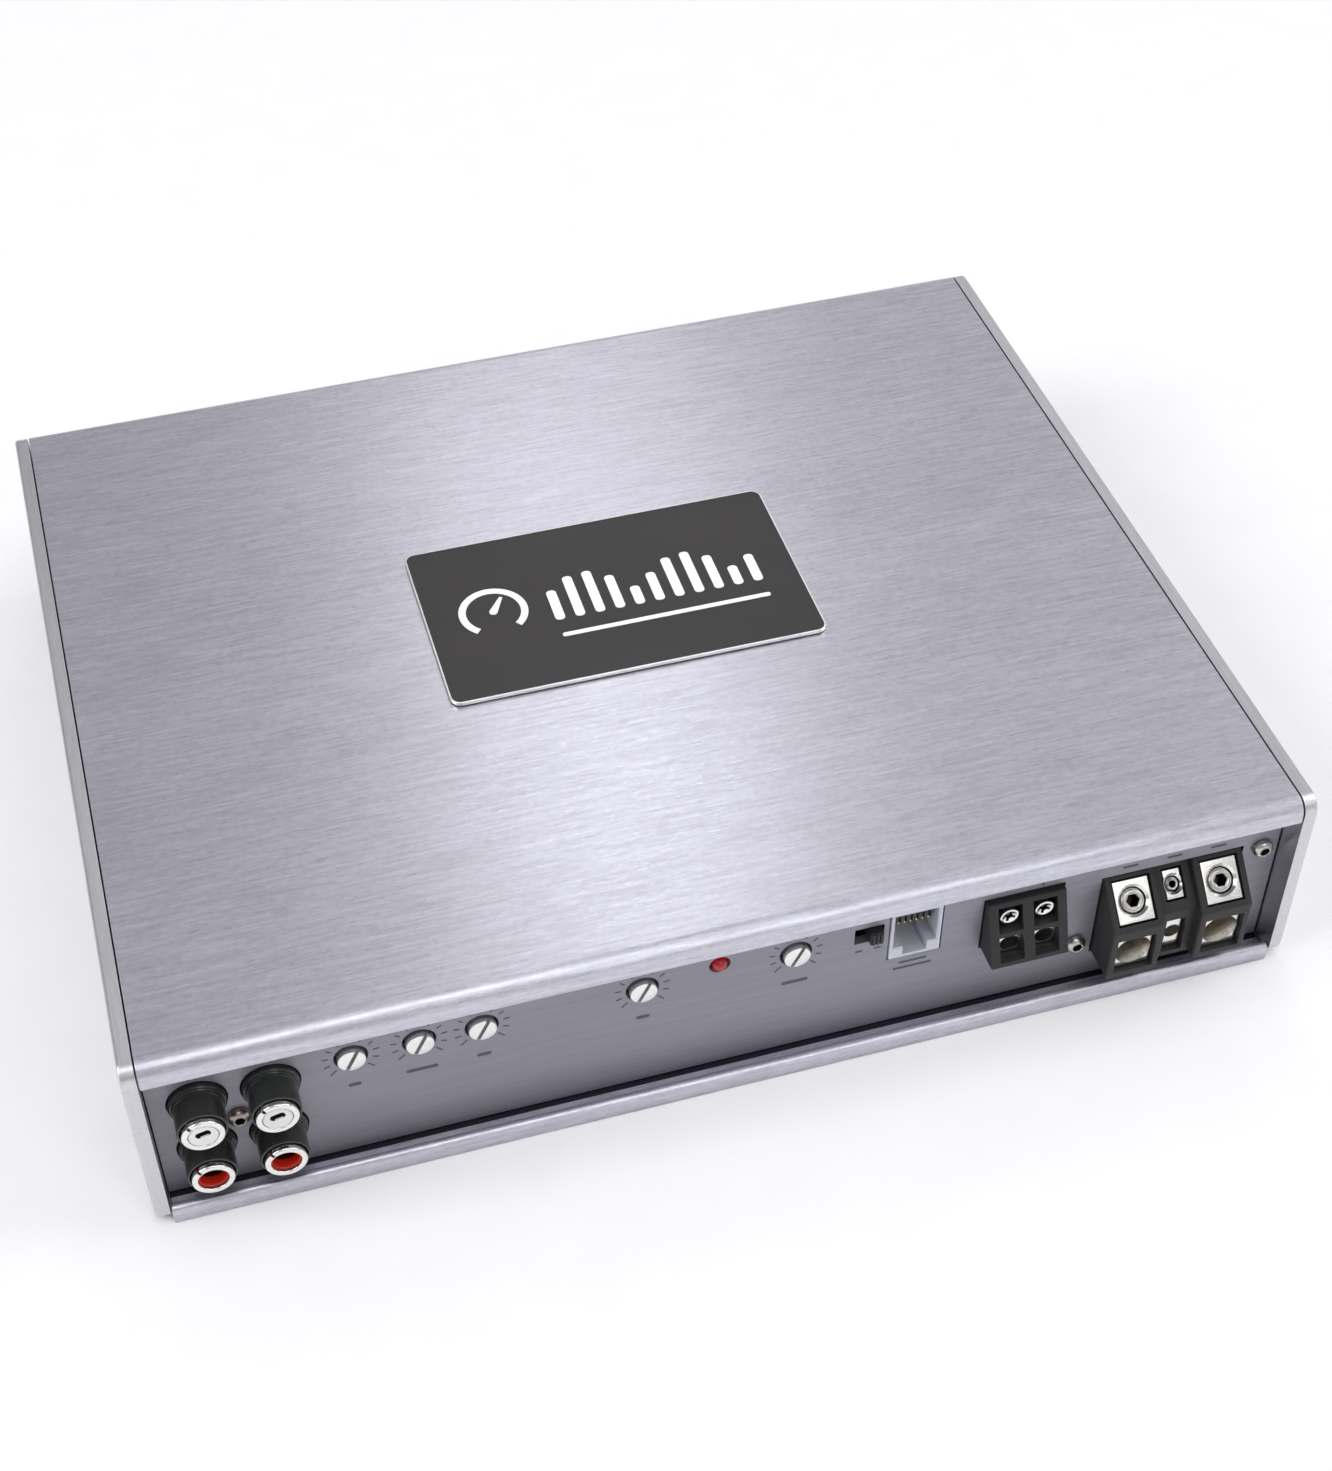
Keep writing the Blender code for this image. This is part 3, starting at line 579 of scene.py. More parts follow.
# Painted shade: near-black steel for the sockets and cross recesses of screw heads, standing in for the shade
# inside them.
RECESS_SHADE_STEEL = plated("recess_painted_shade", (0.07, 0.06, 0.055), (0.4, 0.55), (0.03, 0.02, 0.02))
BORE_NICKEL = brushed_metal(
    "bore_plating", (0.62, 0.55, 0.44), "Y", 200.0, 0.12, (0.2, 0.34), 4e-6, 0.3, metallic=0.8
)
# Painted shade: a dark steel for the inside of the trimmer dials' slots, standing in for the shade in them.
SLOT_SHADE_STEEL = plated("slot_painted_shade", (0.2, 0.2, 0.2), (0.4, 0.5), (0.1, 0.1, 0.1))
SET_STEEL = plated("set_screw_steel", (0.56, 0.55, 0.53), (0.2, 0.32), (0.3, 0.27, 0.24))
TERMINAL_BLACK = moulded(
    "terminal_moulding", (0.027, 0.025, 0.026), (0.38, 0.52), (0.1, 0.095, 0.095), gloss=0.3
)
WHITE = moulded("white_insulator", (0.80, 0.80, 0.78), (0.3, 0.42), (0.9, 0.9, 0.9), 4e-6, 0.03)
RED = moulded("red_insulator", (0.58, 0.026, 0.01), (0.3, 0.42), (0.75, 0.16, 0.09), 4e-6, 0.06)
# Painted shade: near-black red for the deep inside of the socket cores, standing in for the shade in their
# cups and slots.
RED_RECESS_SHADE = moulded("red_recess_painted_shade", (0.035, 0.003, 0.003), (0.3, 0.42), (0.05, 0.01, 0.01), 4e-6, 0.1)
PALE = moulded("jack_moulding", (0.60, 0.62, 0.70), (0.28, 0.4), (0.75, 0.77, 0.82), 5e-6, 0.04)
NICKEL = plated("bright_plating", (0.86, 0.85, 0.82), (0.14, 0.26), (0.62, 0.58, 0.5))
DIAL_NICKEL = plated("dial_plating", (0.88, 0.88, 0.87), (0.3, 0.42), (0.7, 0.69, 0.66), 5e-6)
STEEL = plated("screw_steel", (0.42, 0.37, 0.34), (0.25, 0.4), (0.24, 0.17, 0.14), 6e-6)
BRASS = plated("contact_brass", (0.75, 0.58, 0.3), (0.2, 0.35), (0.4, 0.26, 0.12))
TIN = plated("lead_tin", (0.6, 0.6, 0.6), (0.25, 0.4), (0.4, 0.4, 0.4))
COPPER = plated("winding_enamel", (0.62, 0.24, 0.09), (0.22, 0.36), (0.36, 0.1, 0.03))
LAMINATE = circuit_laminate()
LENS = glowing_lens()
DARK_PRINT = printed("dark_print", (0.075, 0.072, 0.09), 0.5)
WHITE_PRINT = printed("white_print", (0.92, 0.92, 0.92), 0.45)
BADGE_FACE = badge_face()
CAN_SLEEVE = moulded("capacitor_sleeve", (0.018, 0.03, 0.09), (0.22, 0.34), (0.06, 0.08, 0.15), 4e-6)


# Case


def screw_channel(y, base, tip, opening):
    """The outline of a boss with an open channel for a screw, from one foot to the other."""
    half = CHANNEL_WIDTH / 2
    wall = half + 2.2
    return [(y - wall, base), (y - wall, tip), (y - half, tip), (y - half, opening),
            (y + half, opening), (y + half, tip), (y + wall, tip), (y + wall, base)]


CHANNEL_WIDTH = 3.2
UPPER_Z = middle("cap_screw_left_3").z
LOWER_Z = middle("cap_screw_left_1").z
UPPER_YS = (middle("cap_screw_left_3").y, middle("cap_screw_left_4").y)
LOWER_YS = (middle("cap_screw_left_1").y, middle("cap_screw_left_2").y)
RAIL_Y = span("power_transistor_1")[1].y + GAP
RAIL_FOOT = 22.0
RAIL_THICK = 5.0
BOSS_REACH = 3.6
FIN_COUNT = 7
FIN_PITCH = 11.0
FIN_HEIGHT = 6.0


def case_shell():
    """Top plate, front lip, rear wall, inner fins, transistor rail and two screw channels."""
    under = TOP - TOP_THICK
    opening = UPPER_Z + CHANNEL_WIDTH / 2
    tip = UPPER_Z - BOSS_REACH
    lip = TOP - LIP_DROP
    foot = CASE_LOW.z
    outline = [(FRONT + 0.6, lip)]
    outline += arc((FRONT + 0.6, lip + 0.6), 0.6, 270, 180, 5)[1:]
    outline += arc((FRONT + EDGE_RADIUS, TOP - EDGE_RADIUS), EDGE_RADIUS, 180, 90, 20)
    outline += arc((BACK - EDGE_RADIUS, TOP - EDGE_RADIUS), EDGE_RADIUS, 90, 0, 20)
    outline += [(BACK, foot), (BACK - REAR_THICK, foot), (BACK - REAR_THICK, under)]
    outline += reversed(screw_channel(UPPER_YS[1], under, tip, opening))
    rail_back = RAIL_Y + RAIL_THICK
    outline += [(rail_back, under), (rail_back, RAIL_FOOT), (RAIL_Y, RAIL_FOOT), (RAIL_Y, under)]
    fin_tip = under - FIN_HEIGHT
    for fin in range(FIN_COUNT):
        y = RAIL_Y - 12.0 - FIN_PITCH * fin
        outline += [(y + 0.9, under), (y + 0.7, fin_tip), (y - 0.7, fin_tip), (y - 0.9, under)]
    outline += reversed(screw_channel(UPPER_YS[0], under, tip, opening))
    outline += [(BEHIND, under), (PANEL_FACE - GAP, under), (PANEL_FACE - GAP, lip)]
    return prism(outline, -HALF_SPAN, HALF_SPAN)


def case_floor():
    """Floor with the rounded front ridge, two board rails and two screw channels."""
    half = RIDGE_THICK / 2
    opening = LOWER_Z - CHANNEL_WIDTH / 2
    tip = LOWER_Z + BOSS_REACH
    seat = BOARD_LOW.z - GAP
    outline = [(FRONT, 0.25), (FRONT, RIDGE_HEIGHT - half)]
    outline += arc((FRONT + half, RIDGE_HEIGHT - half), half, 180, 0, 16)[1:]
    outline += [(FRONT + RIDGE_THICK, FLOOR_THICK), (SHADE_LINE, FLOOR_THICK), (BEHIND, FLOOR_THICK)]
    outline += screw_channel(LOWER_YS[0], FLOOR_THICK, tip, opening)
    for y in (BOARD_LOW.y + 2.0, BOARD_HIGH.y - 5.0):
        outline += [(y, FLOOR_THICK), (y, seat), (y + 3.0, seat), (y + 3.0, FLOOR_THICK)]
    outline += screw_channel(LOWER_YS[1], FLOOR_THICK, tip, opening)
    outline += [(BACK, FLOOR_THICK), (BACK, 0.25), (BACK - 0.25, 0.0), (FRONT + 0.25, 0.0)]
    return prism(outline, -HALF_SPAN, HALF_SPAN)


def in_ledge_painted_shade(spot):
    """Whether a face of the floor is in the strip along the panel's foot that is painted dark as shade."""
    return SHADE_LINE < spot.y < BEHIND and 0.5 < spot.z < RIDGE_HEIGHT


def end_cap():
    """Side plate with its outer face at x = 0, a rolled rim and four countersunk holes."""
    thick = CAP_HIGH.x - CAP_LOW.x
    outline = rounded(FRONT, BACK, 0.0, TOP, (FOOT_RADIUS, FOOT_RADIUS, EDGE_RADIUS, EDGE_RADIUS), 16)
    plate = prism(outline, -thick, 0.0)
    bm = bmesh.new()
    bm.from_mesh(plate)
    rim = [edge for edge in bm.edges if all(abs(vert.co.x) < 0.01 for vert in edge.verts)]
    bmesh.ops.bevel(bm, geom=rim, offset=0.7, segments=4, profile=0.5, affect="EDGES")
    plate = finished(bm)
    head, shank = 3.1, 1.6
    sink = [(0, -PAST), (head, -PAST), (head, 0.5), (shank, 0.5 + head - shank), (shank, 4.0), (0, 4.0)]
    hole = spun(turned(sink, 48), "Z", 90)
    places = [(y, LOWER_Z) for y in LOWER_YS] + [(y, UPPER_Z) for y in UPPER_YS]
    return cut(plate, *[moved(hole, y=y, z=z) for y, z in places])


def countersunk_screw():
    """M3 screw along +Y with its dished hexagon-socket head at y = 0."""
    head, shank, length, socket = 2.8, 1.3, 11.0, 1.15
    neck = 0.2 + head - shank
    groove = ((0.0, 0.0), (0.22, 0.2), (0.22, 0.3), (0.0, 0.5))
    return turned([
        (0, 1.4), (socket, 1.3, 6), (socket, 0.12, 6), (socket + 0.12, 0.0), (head - 0.12, 0.0),
        (head, 0.1), (head, 0.22), (shank, neck), *thread(shank, groove, 0.6, neck, length - 1.0),
        (shank - 0.5, length), (0, length),
    ], 36)


def pan_screw(length):
    """Small pan head screw along +Y with the underside of its head at y = 0."""
    head, socket = 2.2, 1.15
    dome = []
    for degrees in range(0, 61, 10):
        angle = math.radians(degrees)
        dome.append((head * math.cos(angle), -0.5 - 1.2 * math.sin(angle)))
    screw = turned([
        (0, 1.2), (0.95, 1.0, 6), (socket, -0.4, 6), (socket, -1.48, 6), (socket + 0.1, -1.56),
        *reversed(dome), (head, 0.0), (1.15, 0.0), (1.15, length - 0.4), (0.7, length), (0, length),
    ], 48)
    # The socket's faces get the second finish, painted dark as shade.
    return marked(screw, lambda spot: spot.y < 1.3 and off_axis(spot) < 1.05)


def build_case():
    piece("case_shell", case_shell(), ALUMINIUM, "brushed_aluminium", "heatsink_shell", bevel=0.22)
    # The ledge's faces get the painted shade as their second finish.
    piece("case_floor", marked(case_floor(), in_ledge_painted_shade), ALUMINIUM, "brushed_aluminium", "base_tray",
          second=LEDGE_PAINTED_SHADE, bevel=0.15)
    cap = end_cap()
    screw = countersunk_screw()
    for side, word in ((1, "right"), (-1, "left")):
        plate = cap if side > 0 else mirrored(cap)
        outer = side * CAP_HIGH.x
        piece(f"side_plate_{word}", moved(plate, x=outer), CAP_METAL, "brushed_aluminium", f"end_cap_{word}")
        for number in range(1, 5):
            node = f"cap_screw_{word}_{number}"
            spot = middle(node)
            placed = moved(spun(screw, "Z", side * 90), outer, spot.y, spot.z)
            piece(f"cap_bolt_{word}_{number}", placed, STEEL, "dark_steel", node)


# Connector panel and its marks

SOCKETS = [middle(f"socket_shell_{number}") for number in range(1, 5)]
SOCKET_TIP = span("socket_shell_1")[0].y
SOCKET_SCREW = middle("socket_block_screw")
TRIMMERS = ("lowpass", "phase", "equaliser", "highpass", "level")
TRIMMER_RADIUS = 2.8
TRIMMER_ANGLE = 26.0
LED = middle("power_led")
LED_RADIUS = 1.6
SWITCH = middle("slide_switch_body")
SWITCH_WINDOW = (6.2, 4.4)
GRIP_PITCH = 0.85
BARREL_RADIUS = 5.6
SCREW_SPOTS = [middle(node) for node in ("socket_block_screw", "panel_screw_middle", "panel_screw_right")]
PRINT_HEIGHT = 0.05
CAPTION_LENGTHS = {"lowpass": 2.6, "phase": 6.4, "equaliser": 3.0, "highpass": 2.8, "level": 5.6}


def opening_of(node):
    """A cutter for the panel's opening round a connector block."""
    low, high = span(node)
    return block(low.x - GAP, high.x + GAP, PANEL_FACE - PAST, PANEL_BACK + PAST, low.z - GAP, high.z + GAP)


def switch_window(y0, y1):
    """A cutter for the opening that the switch's knob slides in."""
    wide, high = SWITCH_WINDOW[0] / 2, SWITCH_WINDOW[1] / 2
    return block(SWITCH.x - wide, SWITCH.x + wide, y0, y1, SWITCH.z - high, SWITCH.z + high)


def connector_plate():
    y0, y1 = PANEL_FACE - PAST, PANEL_BACK + PAST
    cutters = [rod(BARREL_RADIUS + GAP, y0, y1, spot.x, spot.z) for spot in SOCKETS]
    for word in TRIMMERS:
        spot = middle(f"trimmer_knob_{word}")
        cutters.append(rod(TRIMMER_RADIUS + 0.6, y0, y1, spot.x, spot.z))
    cutters.append(rod(LED_RADIUS + 0.6, y0, y1, LED.x, LED.z, 48))
    cutters += [rod(1.4, y0, y1, spot.x, spot.z, 32) for spot in SCREW_SPOTS]
    cutters.append(switch_window(y0, y1))
    for node in ("remote_jack", "speaker_terminal_block", "power_terminal_block"):
        cutters.append(opening_of(node))
    return cut(box_of("front_panel"), *cutters)


def dash(x, z, length, height=0.42, angle=0.0):
    """A printed stroke with round ends on the panel."""
    half, end = length / 2, height / 2
    outline = arc((-half + end, 0), end, 90, 270, 6) + arc((half - end, 0), end, -90, 90, 6)
    stroke = prism(outline, PANEL_FACE - PRINT_HEIGHT, PANEL_FACE - 0.005, "Y")
    return moved(spun(stroke, "Y", angle), x=x, z=z)


def trimmer_marks(word):
    """Eleven ticks over a trimmer's 270 degrees, the ends and the middle longer, and a caption dash."""
    spot = middle(f"trimmer_knob_{word}")
    marks = [dash(spot.x, spot.z - 8.6, CAPTION_LENGTHS[word], 0.9)]
    for tick in range(-5, 6):
        turn = 27.0 * tick
        reach, length = (5.0, 1.3) if tick % 5 else (5.2, 1.9)
        x = spot.x + reach * math.sin(math.radians(turn))
        z = spot.z + reach * math.cos(math.radians(turn))
        marks.append(dash(x, z, length, 0.3, 90.0 + turn))
    return marks


def panel_marks():
    """Dark generic print: the trimmers' marks, and strokes by the switch and the connectors."""
    marks = []
    for word in TRIMMERS:
        marks += trimmer_marks(word)
    jack = middle("remote_jack").x
    foot = span("remote_jack")[0].z
    marks += [dash(jack, foot - 2.0, 6.0, 0.6), dash(jack, foot - 3.7, 8.4, 0.6)]
    speaker = middle("speaker_terminal_block").x
    sign_z = span("speaker_terminal_block")[1].z + 2.0
    marks += [dash(speaker + side * 3.8, sign_z, 2.2, 0.5) for side in (-1, 1)]
    marks.append(dash(speaker + 3.8, sign_z, 2.2, 0.5, 90.0))
    power_z = span("power_terminal_block")[1].z + 2.2
    for word in ("ground", "remote", "battery"):
        marks.append(dash(middle(f"power_clamp_{word}").x, power_z, 3.4, 0.6))
    marks += [dash(SWITCH.x + side * 2.0, SWITCH.z - 4.6, 1.6, 0.45) for side in (-1, 1)]
    return joined(*marks)


def build_panel():
    piece("connector_plate", connector_plate(), PANEL_METAL, "anodised_panel", "front_panel")
    piece("panel_marks", panel_marks(), DARK_PRINT, "black_plastic")
    top_row = SOCKETS[0].z + BARREL_RADIUS + 2.2
    columns = [dash(spot.x, top_row, 2.2, 0.5, 90.0) for spot in SOCKETS[:2]]
    piece("socket_marks", joined(*columns), WHITE_PRINT, "white_plastic")
    for word in ("middle", "right"):
        node = f"panel_screw_{word}"
        spot = middle(node)
        screw = moved(pan_screw(6.0), spot.x, PANEL_FACE - GAP, spot.z)
        piece(f"panel_bolt_{word}", screw, SET_STEEL, "dark_steel", node, second=RECESS_SHADE_STEEL)


# Signal sockets


def socket_housing():
    """Black block with four stepped barrels, each with a shallow ring at its root."""
    low, high = span("socket_block")
    flange = PANEL_FACE - 1.2
    sleeve = SOCKET_TIP + 1.3
    seat = span("socket_shell_1")[1].y + GAP
    bore, radius = 4.45, 4.85
    ring = flange - 0.9
    barrel = turned([
        (bore, sleeve), (radius - 0.25, sleeve), (radius - 0.06, sleeve + 0.1), (radius, sleeve + 0.35),
        (radius, ring - 0.3), (radius - 0.15, ring - 0.2), (radius - 0.15, ring + 0.2), (radius, ring + 0.3),
        (radius, flange - 0.25), (radius + 0.2, flange), (BARREL_RADIUS - 0.25, flange),
        (BARREL_RADIUS, flange + 0.25), (BARREL_RADIUS, BEHIND), (bore, BEHIND),
    ])
    body = block(low.x, high.x, BEHIND, high.y, low.z, high.z)
    bores = [rod(bore, BEHIND - PAST, seat, spot.x, spot.z) for spot in SOCKETS]
    body = cut(body, *bores, rod(1.4, BEHIND - PAST, seat, SOCKET_SCREW.x, SOCKET_SCREW.z, 32))
    return joined(body, *[moved(barrel, x=spot.x, z=spot.z) for spot in SOCKETS])


def socket_ring():
    """Plated shell with a broad rolled lip and a slit in its mouth, which is at y = 0."""
    inner, outer, mouth = 3.6, 4.15, 2.95
    low, high = span("socket_shell_1")
    depth = high.y - low.y
    lip = [(mouth, 0.9), (mouth, 0.32)]
    lip += arc((mouth + 0.3, 0.32), 0.3, 180, 270, 6)[1:]
    lip += arc((outer - 0.4, 0.42), 0.4, 270, 360, 8)
    shell = turned([*lip, (outer, depth), (inner, depth), (inner, 0.9)])
    slit = block(-0.3, 0.3, -PAST, 3.2, 3.3, 6.0)
    return cut(shell, spun(slit, "Y", -38.0))


SLOT_SIZE = (1.5, 0.8)
SLOT_TURN = -14.0
SLOT_RISE = 0.7


def white_core():
    """Insulator whose flush boss has a slot above its middle; its boss is at y = 0."""
    body = turned([
        (0, 0.0), (2.6, 0.0), (2.78, 0.05), (2.85, 0.2), (2.85, 1.0), (3.3, 1.0), (3.3, 12.0), (0, 12.0),
    ])
    wide, high = SLOT_SIZE
    slot = prism(rounded(-wide, wide, -high, high, (high * 0.85,) * 4, 6), -PAST, 9.0, "Y")
    return cut(body, moved(spun(slot, "Y", SLOT_TURN), z=SLOT_RISE))


# Depth into a socket core past which its inner faces get painted shade.
CUP_SHADE_DEPTH = 2.7


def red_core():
    """Deep cup with a softened rim and a pin hole in its floor."""
    return turned([
        (0, 9.0), (1.25, 9.0), (1.3, 5.2), (1.6, 5.0), (2.3, 4.8), (2.45, 4.4), (2.5, CUP_SHADE_DEPTH), (2.62, 0.95),
        (2.72, 0.72), (2.85, 0.72), (2.9, 1.0), (3.3, 1.0), (3.3, 12.0), (0, 12.0),
    ])


def centre_contact(wide, high):
    """Hollow spring contact that lines the pin hole, its mouth at y = 0."""
    outside = rounded(-wide, wide, -high, high, (min(wide, high) * 0.9,) * 4, 8)
    inside = rounded(0.12 - wide, wide - 0.12, 0.12 - high, high - 0.12, (min(wide, high) * 0.7,) * 4, 8)
    return cut(prism(outside, 0.0, 6.0, "Y"), prism(inside, -PAST, 5.6, "Y"))


def build_sockets():
    piece("socket_housing", socket_housing(), SLEEVE_BLACK, "black_plastic", "socket_block")
    ring = socket_ring()
    slot_wide, slot_high = SLOT_SIZE
    slot_lining = centre_contact(slot_wide - 0.03, slot_high - 0.03)
    slot_lining = moved(spun(slot_lining, "Y", SLOT_TURN), y=0.3, z=SLOT_RISE)
    pin_lining = moved(centre_contact(1.2, 1.2), y=5.6)
    core_face = SOCKET_TIP + 0.12
    for number, spot in enumerate(SOCKETS, 1):
        piece(f"socket_ring_{number}", moved(ring, spot.x, SOCKET_TIP, spot.z), NICKEL, "bright_nickel",
              f"socket_shell_{number}")
        if number <= 2:
            word, core, finish, lining = "white", white_core(), WHITE, slot_lining
        else:
            word, core, finish, lining = "red", red_core(), RED, pin_lining
        # Faces deep in the cup or slot get the second finish, painted dark as shade.
        core = marked(core, lambda face: face.y > CUP_SHADE_DEPTH and off_axis(face) < 2.6)
        column = 2 - number % 2
        piece(f"socket_core_{word}_{column}", moved(core, spot.x, core_face, spot.z), finish,
              f"{word}_plastic", f"socket_insert_{word}_{column}", second=RED_RECESS_SHADE)
        piece(f"socket_contact_{number}", moved(lining, spot.x, core_face, spot.z), BLACK, "black_plastic")
    screw = moved(pan_screw(7.0), SOCKET_SCREW.x, PANEL_FACE - GAP, SOCKET_SCREW.z)
    piece("socket_bolt", screw, STEEL, "dark_steel", "socket_block_screw", second=RECESS_SHADE_STEEL)


# Trimmers, indicator and switch


def trimmer_dial():
    """Slotted disc and shaft round the Y axis, with the disc's face at y = 0."""
    body = turned([
        (0, 0.0), (TRIMMER_RADIUS - 0.32, 0.0), (TRIMMER_RADIUS - 0.1, 0.08), (TRIMMER_RADIUS, 0.3),
        (TRIMMER_RADIUS, 2.8), (1.5, 2.8), (1.5, 10.7), (0, 10.7),
    ])
    dial = cut(body, block(-0.4, 0.4, -PAST, 0.9, -4.0, 4.0))
    # The slot's faces get the second finish, painted dark as shade.
    dial = marked(dial, lambda spot: 0.1 < spot.y < 0.95 and abs(spot.x) < 0.42)
    return spun(dial, "Y", TRIMMER_ANGLE)


def trimmer_case(node):
    """Potentiometer case with a hole through it for the shaft."""
    low, high = span(node)
    mid = middle(node)
    return cut(softened(box_of(node), 0.3), rod(1.8, low.y - PAST, high.y + PAST, mid.x, mid.z, 40))


def indicator_lens():
    """Dome, collar and base of the indicator, with the dome's crown at y = 0."""
    low, high = span("power_led")
    radius = LED_RADIUS
    collar = BEHIND - low.y + 0.4
    depth = high.y - low.y
    dome = arc((0.0, radius), radius, 270, 360)
    lens = [(0, 0.0), *dome[1:], (radius, collar), (radius + 0.4, collar), (radius + 0.4, depth), (0, depth)]
    return fronting(turned(lens, 40), "power_led")


def switch_slider():
    """Knob with three grip ridges on its front, and its stem."""
    low, high = span("slide_switch_knob")
    knob = softened(block(low.x, high.x, low.y + 0.35, high.y, low.z, high.z), 0.15)
    sides = (low.y, low.y + 0.8, low.z + 0.2, high.z - 0.2)
    xs = [middle("slide_switch_knob").x + step * GRIP_PITCH for step in (-1, 0, 1)]
    return fused(knob, *[softened(block(x - 0.25, x + 0.25, *sides), 0.1, 2) for x in xs])


def switch_frame():
    """The switch's body, open at its front behind the panel's window."""
    front = span("slide_switch_body")[0].y
    return cut(softened(box_of("slide_switch_body"), 0.2), switch_window(front - PAST, front + 5.0))


def build_controls():
    dial = trimmer_dial()
    for word in TRIMMERS:
        node = f"trimmer_knob_{word}"
        piece(f"trimmer_dial_{word}", fronting(dial, node), DIAL_NICKEL, "bright_nickel", node,
              body=node, second=SLOT_SHADE_STEEL)
        pot = f"trimmer_pot_{word}"
        piece(f"trimmer_case_{word}", trimmer_case(pot), BLACK, "black_plastic", pot)
    piece("indicator_lens", indicator_lens(), LENS, "red_lens", "power_led")
    piece("switch_frame", switch_frame(), SWITCH_BLACK, "black_plastic", "slide_switch_body")
    piece("switch_slider", switch_slider(), TERMINAL_BLACK, "black_plastic", "slide_switch_knob",
          body="slide_switch_knob")


# Remote control jack

JACK_LOW, JACK_HIGH = span("remote_jack")
JACK_X = middle("remote_jack").x
JACK_WALL = 0.9
JACK_DEPTH = 13.0
JACK_STEP = 2.2
LATCH_WIDTH = 5.2
CONTACT_XS = [JACK_X + (index - 2.5) * 1.27 for index in range(6)]


def remote_port():
    """Pale open box with a stepped floor, a latch groove and chamfered mouth edges."""
    x0, x1 = JACK_LOW.x + JACK_WALL, JACK_HIGH.x - JACK_WALL
    y0, y1 = JACK_LOW.y - PAST, JACK_LOW.y + JACK_DEPTH
    floor, roof = JACK_LOW.z + JACK_WALL, JACK_HIGH.z - JACK_WALL
    mouth = block(x0, x1, y0, y1, floor + JACK_STEP, roof)
    latch = block(JACK_X - LATCH_WIDTH / 2, JACK_X + LATCH_WIDTH / 2, y0, y1, floor, roof)
    chamfer = flared(x0, x1, floor + JACK_STEP, roof, JACK_LOW.y, 0.3)
    return cut(softened(box_of("remote_jack"), 0.25), mouth, latch, chamfer)


def wire_comb():
    """Carrier that slopes down from the jack's ceiling, with a groove for each wire. It is black partly as
    painted shade for the dark top of the jack.
    """
    top, foot = JACK_HIGH.z - 1.0, JACK_LOW.z + 4.4
    front, back = JACK_LOW.y + 1.6, JACK_LOW.y + 12.6
    outline = [(front, top), (front, top - 4.0), (back - 3.0, foot), (back, foot), (back, top)]
    comb = softened(prism(outline, JACK_X - 3.9, JACK_X + 3.9), 0.15, 2)
    groove = (JACK_LOW.y, JACK_LOW.y + 2.2, JACK_LOW.z, top - 0.6)
    return cut(comb, *[block(x - 0.3, x + 0.3, *groove) for x in CONTACT_XS])


def contact_wires():
    """Sprung wires that slope down in front of their carrier."""
    wires = []
    for x in CONTACT_XS:
        start = Vector((x, JACK_LOW.y + 1.9, JACK_HIGH.z - 5.0))
        end = Vector((x, JACK_LOW.y + 10.2, JACK_LOW.z + 3.9))
        length = (end - start).length
        wire = turned([(0, 0.0), (0.2, 0.05), (0.24, 0.15), (0.24, length - 0.1), (0, length)], 14)
        tilt = math.degrees(math.atan2(end.z - start.z, end.y - start.y))
        wires.append(moved(spun(wire, "X", tilt), *start))
    return joined(*wires)


def build_jack():
    piece("remote_port", remote_port(), PALE, "pale_plastic", "remote_jack")
    # The carrier is a real part, and its black is also painted shade at the top of the jack.
    piece("remote_port_comb", wire_comb(), BLACK, "black_plastic")
    piece("remote_port_wires", contact_wires(), BRASS, "bright_nickel")


# Speaker terminals

SPEAKER_LOW, SPEAKER_HIGH = span("speaker_terminal_block")
SPEAKER_TILT = 20.0
SPEAKER_CELL = (5.8, 5.6)
SPEAKER_CELL_FEET = (1.0, 7.5)
SPEAKER_SEAT = FRONT + 14.0
SPEAKER_CROSS_TURN = 20.0
SPEAKER_XS = [middle(f"speaker_clamp_{number}").x for number in (1, 2)]


def speaker_housing():
    """Block with a face tilted back and four windows."""
    slope = math.tan(math.radians(SPEAKER_TILT))
    height = SPEAKER_HIGH.z - SPEAKER_LOW.z
    foot = SPEAKER_LOW.z
    outline = [
        (SPEAKER_LOW.y, foot), (SPEAKER_LOW.y + height * slope, SPEAKER_HIGH.z),
        (SPEAKER_HIGH.y, SPEAKER_HIGH.z), (SPEAKER_HIGH.y, foot),
    ]
    body = softened(prism(outline, SPEAKER_LOW.x, SPEAKER_HIGH.x), 0.35)
    half = SPEAKER_CELL[0] / 2 - 0.25
    cutters = []
    for x in SPEAKER_XS:
        for rise in SPEAKER_CELL_FEET:
            low, high = foot + rise, foot + rise + SPEAKER_CELL[1]
            cutters.append(block(x - half, x + half, SPEAKER_LOW.y - 2.0, SPEAKER_SEAT, low, high))
    return cut(body, *cutters)


def speaker_cage(node):
    """Plated cage with a round way in for the wire."""
    low, high = span(node)
    mid = middle(node)
    return cut(softened(box_of(node), 0.25), rod(2.05, low.y - PAST, high.y - 1.0, mid.x, mid.z, 48))


